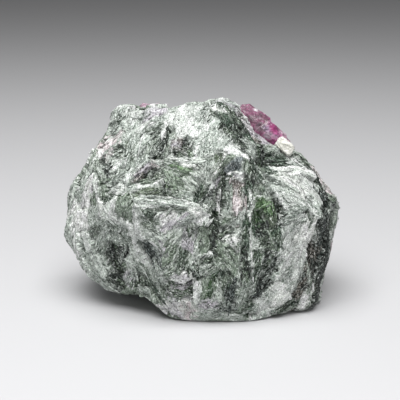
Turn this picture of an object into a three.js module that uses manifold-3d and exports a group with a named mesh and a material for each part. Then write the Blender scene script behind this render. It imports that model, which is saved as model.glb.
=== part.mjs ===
// A hand-sized lump of ruby in matrix: one rough block of green, fibrous mica rock,
// with a ruby crystal group set in its right shoulder, a smaller ruby in its crest,
// and a grain of cream feldspar beside the big ruby.
//
// Millimetres, +Z up, +X to the right along the block, +Y to its back.
// The block is worked out square to its broad front face, in u (right), v (up the face)
// and w (out of the face), and then leans back onto the small flat that it rests on.

import * as THREE from "three";
import { ConvexGeometry } from "three/addons/geometries/ConvexGeometry.js";
import { ImprovedNoise } from "three/addons/math/ImprovedNoise.js";
import { mergeVertices } from "three/addons/utils/BufferGeometryUtils.js";
import Module from "manifold-3d";

const wasm = await Module();
wasm.setup();

// ---------------------------------------------------------------- driving dimensions

const LEAN = THREE.MathUtils.degToRad(15); // the broad face leans back by this
const REST_DROP = 24.3; // from the block's centre down to the flat it rests on
const FRONT_BULGE = 27; // how far the uncut block would reach forwards of its centre
const BACK_BULGE = 28; // and backwards
const BLUNTNESS = 3.6; // 2 is an ellipse in depth, and larger is squarer
const EDGE_SHARPNESS = 46; // larger leaves crisper edges between the broken faces
const RING_MARGIN = 0.25; // forms fade out towards the widest ring, over this slope
const RING_BREAKAGE = 0.3; // the share of the rough breakage that is left on the ring
const SOCKET_GAP = 0.3; // between a crystal and the socket it sits in
const STONE_DETAIL = 19; // 20 * (this + 1)^2 triangles in the block
const GRAIN_DETAIL = 3; // the same for the feldspar grain

// ---------------------------------------------------------------- the block's shape

// The block's widest ring, anticlockwise from the right as seen square to the broad face:
// [u, v, w]. It comes forward at the foot and falls back at the crest and both ends.
const WIDEST_RING = [
  [39.5, 1.5, -7], [38.0, 5.0, -7], [34.2, 9.0, -6], [30.7, 12.8, -4], [27.3, 15.9, -2], [25.2, 17.9, 0],
  [23.8, 20.0, 2], [20.2, 23.4, 2], [16.6, 25.6, 1], [13.2, 27.2, 0], [11.8, 28.2, -1], [11.0, 29.8, -2],
  [8.0, 30.6, -3], [4.6, 30.6, -4], [2.4, 30.0, -4], [1.0, 29.2, -4], [-3.0, 28.9, -4], [-6.5, 28.1, -4],
  [-10.0, 28.5, -4], [-13.5, 28.8, -4], [-17.0, 28.9, -3], [-20.4, 29.8, -2], [-22.2, 29.2, -2],
  [-23.5, 27.3, -3], [-24.1, 24.6, -3], [-25.4, 21.2, -4], [-27.9, 17.0, -5], [-30.7, 13.2, -6],
  [-34.4, 9.0, -7], [-37.3, 5.0, -7], [-38.7, 0.5, -6], [-38.8, -4.5, -5], [-37.5, -8.5, -5],
  [-34.4, -10.7, -5], [-32.2, -15.8, -5], [-29.6, -19.1, -4], [-25.7, -21.9, -3], [-21.5, -23.2, -2],
  [-17.6, -22.4, 0], [-15.0, -21.8, 6], [-11.2, -24.4, 12], [-8.8, -28.6, 15], [-5.4, -30.6, 17],
  [4.0, -30.9, 18], [12.0, -30.0, 16], [17.0, -28.7, 14], [21.0, -27.3, 12], [26.0, -26.4, 10],
  [30.6, -26.3, 8], [32.6, -24.8, 6], [33.8, -23.4, 0], [37.0, -20.8, -8], [38.2, -17.2, -9],
  [39.2, -12.8, -9], [39.6, -8.0, -8], [39.8, -3.6, -8],
];

// The larger broken faces: turn to the right of the broad face and tilt up from it, in
// degrees, and the distance from the block's centre.
const BROKEN_FACES = [
  { name: "broad face", turn: 4, tilt: -6, away: 22.5 },
  { name: "upper left face", turn: -34, tilt: 26, away: 27.0 },
  { name: "brow", turn: -4, tilt: 44, away: 27.5 },
  { name: "right shoulder", turn: 42, tilt: 27, away: 28.6 },
  { name: "right end", turn: 76, tilt: -7, away: 36.6 },
  { name: "right back corner", turn: 122, tilt: 4, away: 36.6 },
  { name: "left pale face", turn: -50, tilt: 2, away: 30.0 },
  { name: "lower left lobe", turn: -40, tilt: -24, away: 27.0 },
  { name: "foot", turn: -6, tilt: -42, away: 29.5 },
  { name: "lower right face", turn: 24, tilt: -20, away: 27.5 },
  { name: "ruby slope", turn: 36, tilt: 50, away: 28.5 },
  { name: "back", turn: 176, tilt: 6, away: 22.5 },
  { name: "back upper right", turn: 142, tilt: 30, away: 30.0 },
  { name: "back upper left", turn: -144, tilt: 28, away: 28.5 },
  { name: "back lower right", turn: 142, tilt: -26, away: 31.5 },
  { name: "back lower left", turn: -142, tilt: -24, away: 30.5 },
  { name: "crown", turn: 170, tilt: 64, away: 28.0 },
  { name: "left end", turn: -104, tilt: 4, away: 37.0 },
];

// Lumps (rise above 0) and hollows (below 0) on the front: where the middle is, how long
// and wide each is to half its height, how its length lies, anticlockwise from level in
// degrees, and how steep its sides are, from 1, a soft swell, to 4, a ledge.
const FRONT_FORMS = [
  { name: "top left knob", u: -21.6, v: 27.6, long: 4.0, wide: 3.2, lay: 20, rise: 1.2, steep: 2 },
  { name: "notch by the knob", u: -16.5, v: 26.5, long: 3.0, wide: 2.2, lay: -70, rise: -0.9, steep: 2 },
  { name: "top block", u: 6.6, v: 24.6, long: 6.5, wide: 5.6, lay: 80, rise: 1.6, steep: 4 },
  { name: "ruby recess", u: 15.2, v: 18.6, long: 7.4, wide: 4.0, lay: -50, rise: -1.6, steep: 2 },
  { name: "crack below the ruby", u: 17.2, v: 15.4, long: 3.4, wide: 1.2, lay: 90, rise: -1.2, steep: 2 },
  { name: "ledge below the grain", u: 23.2, v: 14.0, long: 4.6, wide: 1.8, lay: -12, rise: -1.1, steep: 2 },
  { name: "white shoulder", u: 27.2, v: 6.4, long: 9.0, wide: 6.0, lay: -58, rise: 1.0, steep: 4 },
  { name: "shoulder seam", u: 20.6, v: 4.4, long: 11.0, wide: 1.4, lay: -63, rise: -1.5, steep: 2 },
  { name: "upright rib", u: 11.6, v: 3.4, long: 15.0, wide: 2.4, lay: 88, rise: 1.7, steep: 3 },
  { name: "gully left of the rib", u: 7.8, v: 1.0, long: 12.5, wide: 1.6, lay: 88, rise: -2.0, steep: 2 },
  { name: "green pocket", u: 17.2, v: 1.6, long: 5.0, wide: 2.2, lay: -80, rise: -1.3, steep: 3 },
  { name: "lower ribs", u: 14.4, v: -15.0, long: 8.0, wide: 2.0, lay: 88, rise: 1.0, steep: 2 },
  { name: "level wedge", u: -7.6, v: 1.0, long: 11.0, wide: 4.0, lay: -4, rise: 1.3, steep: 4 },
  { name: "shadow over the wedge", u: -13.6, v: 9.2, long: 4.6, wide: 2.2, lay: 24, rise: -1.7, steep: 2 },
  { name: "green apron", u: -3.0, v: 9.6, long: 7.0, wide: 3.6, lay: -35, rise: -1.1, steep: 2 },
  { name: "upper hollow", u: -11.4, v: 19.6, long: 4.6, wide: 2.4, lay: 80, rise: -1.4, steep: 2 },
  { name: "white brow", u: -5.4, v: 24.0, long: 5.4, wide: 4.4, lay: 90, rise: 0.8, steep: 3 },
  { name: "second upper hollow", u: -3.6, v: 15.6, long: 3.0, wide: 2.0, lay: 30, rise: -1.0, steep: 2 },
  { name: "left blades", u: -22.6, v: 2.0, long: 7.0, wide: 2.4, lay: 62, rise: 0.9, steep: 3 },
  { name: "lobe seam", u: -15.6, v: -15.4, long: 8.6, wide: 1.8, lay: -68, rise: -1.9, steep: 2 },
  { name: "pale rib", u: -17.8, v: -9.6, long: 5.0, wide: 1.2, lay: -84, rise: 0.9, steep: 2 },
  { name: "lobe", u: -24.6, v: -14.6, long: 8.0, wide: 6.4, lay: -50, rise: 1.2, steep: 3 },
  { name: "pit in the lobe", u: -22.6, v: -15.4, long: 5.6, wide: 1.8, lay: -62, rise: -1.5, steep: 2 },
  { name: "dark blade pocket", u: -13.4, v: -11.0, long: 4.6, wide: 2.0, lay: -66, rise: -1.4, steep: 2 },
  { name: "pink knob", u: -2.0, v: -15.8, long: 2.8, wide: 2.2, lay: 0, rise: 0.9, steep: 3 },
  { name: "hollow over the foot", u: -5.4, v: -20.0, long: 5.0, wide: 2.4, lay: 12, rise: -1.5, steep: 2 },
  { name: "white knob", u: 22.0, v: -24.0, long: 3.4, wide: 3.0, lay: 60, rise: 1.0, steep: 3 },
  { name: "corner rib", u: 29.0, v: -17.6, long: 9.0, wide: 1.4, lay: -76, rise: 1.0, steep: 2 },
  { name: "end hollow", u: 32.2, v: -16.6, long: 7.0, wide: 2.0, lay: -80, rise: -2.0, steep: 2 },
];

// The same on the back, with u still to the right as seen from the front.
const BACK_FORMS = [
  { name: "back rib", u: -8.0, v: 4.0, long: 14.0, wide: 3.4, lay: 70, rise: 1.6, steep: 3 },
  { name: "back gully", u: 0.0, v: 2.0, long: 13.0, wide: 2.6, lay: 74, rise: -2.2, steep: 2 },
  { name: "back plate", u: 12.0, v: -6.0, long: 10.0, wide: 7.0, lay: 40, rise: 1.8, steep: 4 },
  { name: "back pocket", u: 18.0, v: 10.0, long: 6.0, wide: 3.6, lay: 20, rise: -1.8, steep: 3 },
  { name: "back left ledge", u: -24.0, v: -4.0, long: 9.0, wide: 5.0, lay: 80, rise: 1.6, steep: 4 },
  { name: "back left pit", u: -20.0, v: 13.0, long: 5.0, wide: 3.0, lay: 30, rise: -1.6, steep: 2 },
  { name: "back low lump", u: -6.0, v: -16.0, long: 7.0, wide: 4.0, lay: 10, rise: 1.2, steep: 3 },
];

// Rough breakage over the whole block: [grain size, height], from coarse to fine.
const BREAKAGE = [
  [11.0, 0.9],
  [5.2, 0.6],
  [3.0, 0.35],
];

// ---------------------------------------------------------------- crystals and grain

// Six-sided ruby crystals: middle, corner radius, length, which way the long axis lies
// (angle in the u-v plane, then dip out of it, in degrees) and roll about that axis.
const SHOULDER_RUBY = [
  { at: [13.9, 24.2, 3.4], radius: 4.4, length: 10.0, lay: -35, dip: 6, roll: 12 },
  { at: [18.8, 21.0, 6.0], radius: 3.7, length: 7.4, lay: -42, dip: -8, roll: 38 },
  { at: [22.3, 19.4, 6.6], radius: 1.9, length: 3.8, lay: -60, dip: 14, roll: 5 },
];
const CREST_RUBY = [
  { at: [-13.2, 27.0, -4.6], radius: 3.7, length: 8.2, lay: -4, dip: 8, roll: 20 },
];
// A crystal's cross-section isn't regular: each corner's share of the radius.
const CORNER_SHARES = [1.0, 0.93, 1.04, 0.96, 1.02, 0.9];
const END_BEVEL = 0.16; // share of the length taken by the bevel at each end
const END_SHARE = 0.68; // the end face's radius, as a share of the crystal's

const GRAIN_ROUGHNESS = 0.18; // as a share of the grain's half size
const GRAIN_LUMPS = 1.9; // lumps of that roughness over the grain's half size
const FELDSPAR = { at: [22.7, 17.7, 8.6], size: [2.6, 1.7, 2.3], lay: -38, blockiness: 5 };

// ---------------------------------------------------------------- helpers

const noise = new ImprovedNoise();
const radians = THREE.MathUtils.degToRad;

// The unit vector turned right and tilted up from straight out of the broad face.
function facing(turn, tilt) {
  const t = radians(turn);
  const e = radians(tilt);
  return new THREE.Vector3(Math.sin(t) * Math.cos(e), Math.sin(e), Math.cos(t) * Math.cos(e));
}

// A three.js geometry as a manifold-3d solid.
function solidOf(geometry) {
  const bare = geometry.index ? geometry.toNonIndexed() : geometry.clone();
  bare.deleteAttribute("normal");
  bare.deleteAttribute("uv");
  const merged = mergeVertices(bare, 1e-4);
  return new wasm.Manifold(
    new wasm.Mesh({
      numProp: 3,
      vertProperties: new Float32Array(merged.attributes.position.array),
      triVerts: new Uint32Array(merged.index.array),
    }),
  );
}

// A manifold-3d solid as a three.js geometry.
function geometryOf(solid) {
  const mesh = solid.getMesh();
  const positions = new Float32Array(mesh.numVert * 3);
  for (let i = 0; i < mesh.numVert; i++) {
    const start = i * mesh.numProp;
    positions.set(mesh.vertProperties.subarray(start, start + 3), i * 3);
  }
  const geometry = new THREE.BufferGeometry();
  geometry.setAttribute("position", new THREE.BufferAttribute(positions, 3));
  geometry.setIndex(new THREE.BufferAttribute(mesh.triVerts, 1));
  geometry.computeVertexNormals();
  return geometry;
}

// A ball of triangles whose points are moved out to radiusAlong(direction).
function ball(detail, radiusAlong) {
  const geometry = new THREE.IcosahedronGeometry(1, detail);
  const position = geometry.attributes.position;
  const direction = new THREE.Vector3();
  for (let i = 0; i < position.count; i++) {
    direction.fromBufferAttribute(position, i).normalize();
    direction.multiplyScalar(radiusAlong(direction.clone()));
    position.setXYZ(i, direction.x, direction.y, direction.z);
  }
  return geometry;
}

// ---------------------------------------------------------------- the block

// The ring's corners with their bearings, in order of bearing.
const CORNERS = WIDEST_RING.map(([u, v, w]) => ({ u, v, w, bearing: Math.atan2(v, u) })).sort(
  (a, b) => a.bearing - b.bearing,
);

// Where the ring is along a bearing: its radius in the u-v plane, and how far it stands
// forward there as a share of that radius.
function ringAt(bearing) {
  let next = CORNERS.findIndex((c) => c.bearing > bearing);
  if (next < 0) next = 0;
  const b = CORNERS[next];
  const a = CORNERS[(next + CORNERS.length - 1) % CORNERS.length];
  const across = a.u * b.v - a.v * b.u;
  const along = Math.cos(bearing) * (b.v - a.v) - Math.sin(bearing) * (b.u - a.u);
  const radius = across / along;
  const share = THREE.MathUtils.clamp(
    Math.hypot(radius * Math.cos(bearing) - a.u, radius * Math.sin(bearing) - a.v) /
      Math.hypot(b.u - a.u, b.v - a.v),
    0,
    1,
  );
  return { radius, forward: THREE.MathUtils.lerp(a.w, b.w, share) / radius };
}

// How much a lump or hollow lifts the surface at a point: its full rise in the middle,
// half of it on the ellipse of its length and width, and nothing far outside.
function lift(form, u, v) {
  const lay = radians(form.lay);
  const du = u - form.u;
  const dv = v - form.v;
  const along = (du * Math.cos(lay) + dv * Math.sin(lay)) / form.long;
  const across = (dv * Math.cos(lay) - du * Math.sin(lay)) / form.wide;
  return form.rise / (1 + Math.pow(along * along + across * across, form.steep));
}

// Rough breakage: coherent noise, in layers from coarse to fine.
function breakage(p) {
  return BREAKAGE.reduce(
    (sum, [size, height]) => sum + height * noise.noise(p.x / size, p.y / size, p.z / size),
    0,
  );
}

const faceNormals = BROKEN_FACES.map(({ turn, tilt }) => facing(turn, tilt));
const down = new THREE.Vector3(0, -Math.cos(LEAN), -Math.sin(LEAN));

// The block's radius along a unit direction from its centre. The widest ring is rounded
// off into the depth, cut by the broken faces with slightly worn edges between them,
// given its lumps, hollows and roughness, and cut flat where it rests.
function stoneRadius(direction) {
  const level = Math.hypot(direction.x, direction.y);
  const ring = ringAt(Math.atan2(direction.y, direction.x));
  const depth = direction.z - level * ring.forward;
  const bulge = depth > 0 ? FRONT_BULGE : BACK_BULGE;
  const pillow = Math.pow(
    Math.pow(level / ring.radius, BLUNTNESS) + Math.pow(Math.abs(depth) / bulge, BLUNTNESS),
    -1 / BLUNTNESS,
  );
  let inverse = Math.pow(pillow, -EDGE_SHARPNESS);
  faceNormals.forEach((normal, i) => {
    const towards = normal.dot(direction);
    if (towards > 0) inverse += Math.pow(towards / BROKEN_FACES[i].away, EDGE_SHARPNESS);
  });
  let radius = Math.pow(inverse, -1 / EDGE_SHARPNESS);
  const p = direction.clone().multiplyScalar(radius);
  const forms = depth > 0 ? FRONT_FORMS : BACK_FORMS;
  const offRing = Math.min(1, Math.abs(depth) / RING_MARGIN);
  radius += offRing * forms.reduce((sum, form) => sum + lift(form, p.x, p.y), 0);
  radius += THREE.MathUtils.lerp(RING_BREAKAGE, 1, offRing) * breakage(p);
  const dropping = down.dot(direction);
  return dropping > 0 ? Math.min(radius, REST_DROP / dropping) : radius;
}

// ---------------------------------------------------------------- crystals and grain

// A six-sided crystal with bevelled ends, every face flat. grow moves each face out.
function crystal({ at, radius, length, lay, dip, roll }, grow = 0) {
  const rings = [
    [-0.5, END_SHARE],
    [-0.5 + END_BEVEL, 1],
    [0.5 - END_BEVEL, 1],
    [0.5, END_SHARE],
  ];
  const points = rings.flatMap(([along, share]) =>
    CORNER_SHARES.map((corner, i) => {
      const angle = (i * Math.PI) / 3;
      const r = share * corner * (radius + grow / Math.cos(Math.PI / 6));
      return new THREE.Vector3(along * (length + 2 * grow), r * Math.cos(angle), r * Math.sin(angle));
    }),
  );
  const turn = new THREE.Matrix4()
    .makeTranslation(...at)
    .multiply(new THREE.Matrix4().makeRotationZ(radians(lay)))
    .multiply(new THREE.Matrix4().makeRotationY(radians(-dip)))
    .multiply(new THREE.Matrix4().makeRotationX(radians(roll)));
  return solidOf(new ConvexGeometry(points).applyMatrix4(turn));
}

// Crystals that have grown into each other, as one solid.
function crystalGroup(crystals, grow = 0) {
  return crystals.map((c) => crystal(c, grow)).reduce((all, one) => all.add(one));
}

// A grain that broke along its cleavage: a ball squared off, stretched to its size, with
// a little roughness.
function grainSolid({ at, size, lay, blockiness }, grow = 0) {
  const geometry = ball(GRAIN_DETAIL, (d) => {
    const powers = d.toArray().map((share) => Math.pow(Math.abs(share), blockiness));
    const squared = Math.pow(powers[0] + powers[1] + powers[2], -1 / blockiness);
    return squared + GRAIN_ROUGHNESS * noise.noise(...d.clone().multiplyScalar(GRAIN_LUMPS).toArray());
  });
  geometry.scale(...size.map((s) => s + grow));
  geometry.rotateZ(radians(lay));
  geometry.translate(...at);
  return solidOf(geometry);
}

// ---------------------------------------------------------------- the assembly

const COLOURS = {
  matrix: { color: 0x93a092, roughness: 0.62 },
  ruby: { color: 0xa3316f, roughness: 0.3 },
  feldspar: { color: 0xdcdccf, roughness: 0.5 },
};

const block = new THREE.Group();
block.rotation.x = Math.PI / 2 - LEAN;

function addPiece(name, solid, finish) {
  const material = new THREE.MeshStandardMaterial({ ...COLOURS[finish], metalness: 0 });
  const mesh = new THREE.Mesh(geometryOf(solid), material);
  mesh.name = name;
  block.add(mesh);
}

const shoulderSocket = crystalGroup(SHOULDER_RUBY, SOCKET_GAP);
const crestSocket = crystalGroup(CREST_RUBY, SOCKET_GAP);
const grainSocket = grainSolid(FELDSPAR, SOCKET_GAP);

addPiece(
  "matrix",
  solidOf(ball(STONE_DETAIL, stoneRadius))
    .subtract(shoulderSocket)
    .subtract(crestSocket)
    .subtract(grainSocket),
  "matrix",
);
addPiece("shoulder_ruby", crystalGroup(SHOULDER_RUBY), "ruby");
addPiece("crest_ruby", crystalGroup(CREST_RUBY), "ruby");
addPiece("feldspar_grain", grainSolid(FELDSPAR).subtract(shoulderSocket), "feldspar");

// The origin is under the middle of the whole piece, on the surface that it rests on.
const part = new THREE.Group();
part.add(block);
part.updateMatrixWorld(true);
const bounds = new THREE.Box3().setFromObject(part);
block.position.set(
  -(bounds.min.x + bounds.max.x) / 2,
  -(bounds.min.y + bounds.max.y) / 2,
  REST_DROP,
);

export default part;
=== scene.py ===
"""A hand-sized block of green, fibrous mica rock with ruby crystals set in it.

The rock's skin is a near-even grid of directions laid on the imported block. It is divided
into sheaves, each with its own lie of the fibres, mineral mix and level, and lifted by the
blades that each sheaf is made of. Thousands of flat plates, loose-ended blades and fibres
and a few thin veins then lie on it. The rubies and the feldspar grain are broken and worn
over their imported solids.

Shapes are worked out in millimetres, and meshes are written in metres.
"""

import functools
import itertools
import math

import bpy
import numpy as np
from bpy.props import FloatProperty, FloatVectorProperty, IntProperty, PointerProperty
from bpy.types import Operator, Panel, PropertyGroup
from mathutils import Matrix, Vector


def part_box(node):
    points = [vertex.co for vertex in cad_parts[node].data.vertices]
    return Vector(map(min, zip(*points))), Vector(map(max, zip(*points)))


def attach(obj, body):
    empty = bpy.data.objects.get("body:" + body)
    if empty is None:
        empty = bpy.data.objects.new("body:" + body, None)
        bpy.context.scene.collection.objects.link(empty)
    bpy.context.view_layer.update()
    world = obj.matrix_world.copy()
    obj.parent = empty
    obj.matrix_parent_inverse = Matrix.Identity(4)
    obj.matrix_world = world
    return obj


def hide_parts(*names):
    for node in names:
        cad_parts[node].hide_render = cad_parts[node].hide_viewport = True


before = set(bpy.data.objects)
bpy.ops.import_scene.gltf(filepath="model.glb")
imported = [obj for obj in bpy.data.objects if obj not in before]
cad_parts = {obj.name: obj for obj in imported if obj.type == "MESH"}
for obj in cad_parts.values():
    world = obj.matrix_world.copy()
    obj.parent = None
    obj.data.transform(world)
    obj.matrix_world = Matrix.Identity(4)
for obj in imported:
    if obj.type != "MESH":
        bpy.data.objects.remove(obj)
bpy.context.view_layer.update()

bl_info = {
    "name": "Ruby in Matrix",
    "version": (1, 0, 0),
    "blender": (4, 5, 0),
    "location": "View3D > Sidebar > Ruby",
    "description": "Makes the fibrous rock, its blades, the rubies and the feldspar grain",
    "category": "Add Mesh",
}

MM = 0.001

# ------------------------------------------------------------------ the block's own frame

LEAN = math.radians(15)  # the broad face leans back by this
# The block's middle, as shares of its width, depth and height.
MIDDLE_SHARE = np.array([0.4956, 0.4976, 0.4351])
FACE_RIGHT = np.array([1.0, 0.0, 0.0])
FACE_UP = np.array([0.0, math.sin(LEAN), math.cos(LEAN)])
FACE_OUT = np.array([0.0, -math.cos(LEAN), math.sin(LEAN)])
FACE_AXES = np.array([FACE_RIGHT, -FACE_OUT, FACE_UP])
BLOCK_SHAPE = np.array([38.0, 24.0, 28.0])  # half the block's width, depth and height
EYE_DISTANCE = 300.0  # from the block's middle to the eye, square to the broad face


def block_middle():
    """The block's middle in millimetres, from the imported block's box."""
    low, high = (np.array(corner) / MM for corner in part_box("matrix"))
    return low + MIDDLE_SHARE * (high - low)


MIDDLE = block_middle()

# ------------------------------------------------------------------ minerals and sheaves

# How each mix of minerals breaks: its dark and its light mineral, the share of its blades
# that are light, how much of it is loose fibres and how much flat plates, each from 0 to 1,
# and how far its blades stand up and down, in millimetres.
MIXES = {
    "snow mica": ("pale", "snow", 0.86, 0.2, 0.1, 0.08),
    "white mica": ("pale", "white", 0.72, 0.25, 0.2, 0.10),
    "silver mica": ("silver", "white", 0.44, 0.6, 0.4, 0.14),
    "pale mica": ("silver", "pale", 0.52, 0.6, 0.5, 0.14),
    "grey mica": ("sage", "silver", 0.50, 0.6, 0.6, 0.16),
    "green mica": ("moss", "fern", 0.80, 0.3, 1.0, 0.14),
    "deep green": ("pine", "sage", 0.46, 0.6, 0.8, 0.24),
    "dark green": ("pine", "moss", 0.42, 0.4, 0.8, 0.22),
    "vivid green": ("pine", "vivid", 0.52, 0.2, 1.0, 0.14),
    "green slab": ("moss", "olive", 0.70, 0.2, 1.0, 0.12),
    "clear green": ("vivid", "spring", 0.82, 0.2, 1.0, 0.10),
    "lit green": ("fern", "pale", 0.60, 0.5, 0.9, 0.18),
    "slate": ("teal", "slate", 0.66, 0.1, 1.0, 0.12),
    "teal flecks": ("teal", "silver", 0.34, 0.3, 0.6, 0.20),
    "dark flecks": ("soot", "silver", 0.44, 0.3, 0.4, 0.30),
    "pit": ("soot", "moss", 0.45, 0.2, 0.2, 0.26),
    "gully": ("soot", "pale", 0.42, 0.8, 0.3, 0.30),
    "mauve": ("silver", "mauve", 0.60, 0.2, 0.3, 0.14),
    "blush": ("silver", "blush", 0.70, 0.4, 0.3, 0.14),
    "lilac white": ("mauve", "snow", 0.62, 0.3, 0.3, 0.12),
    "mauve grey": ("moss", "mauve", 0.62, 0.2, 0.3, 0.18),
    "leaf green": ("fern", "spring", 0.26, 0.3, 1.0, 0.12),
    "brown": ("umber", "mauve", 0.52, 0.2, 0.2, 0.16),
    "brown pit": ("soot", "umber", 0.50, 0.2, 0.2, 0.26),
    "fawn": ("umber", "blush", 0.66, 0.5, 0.2, 0.14),
    # The darkest mix: on the right end, which turns away from the light, its near-black is partly
    # painted shade.
    "end": ("soot", "teal", 0.12, 0.2, 0.6, 0.18),
}

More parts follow.
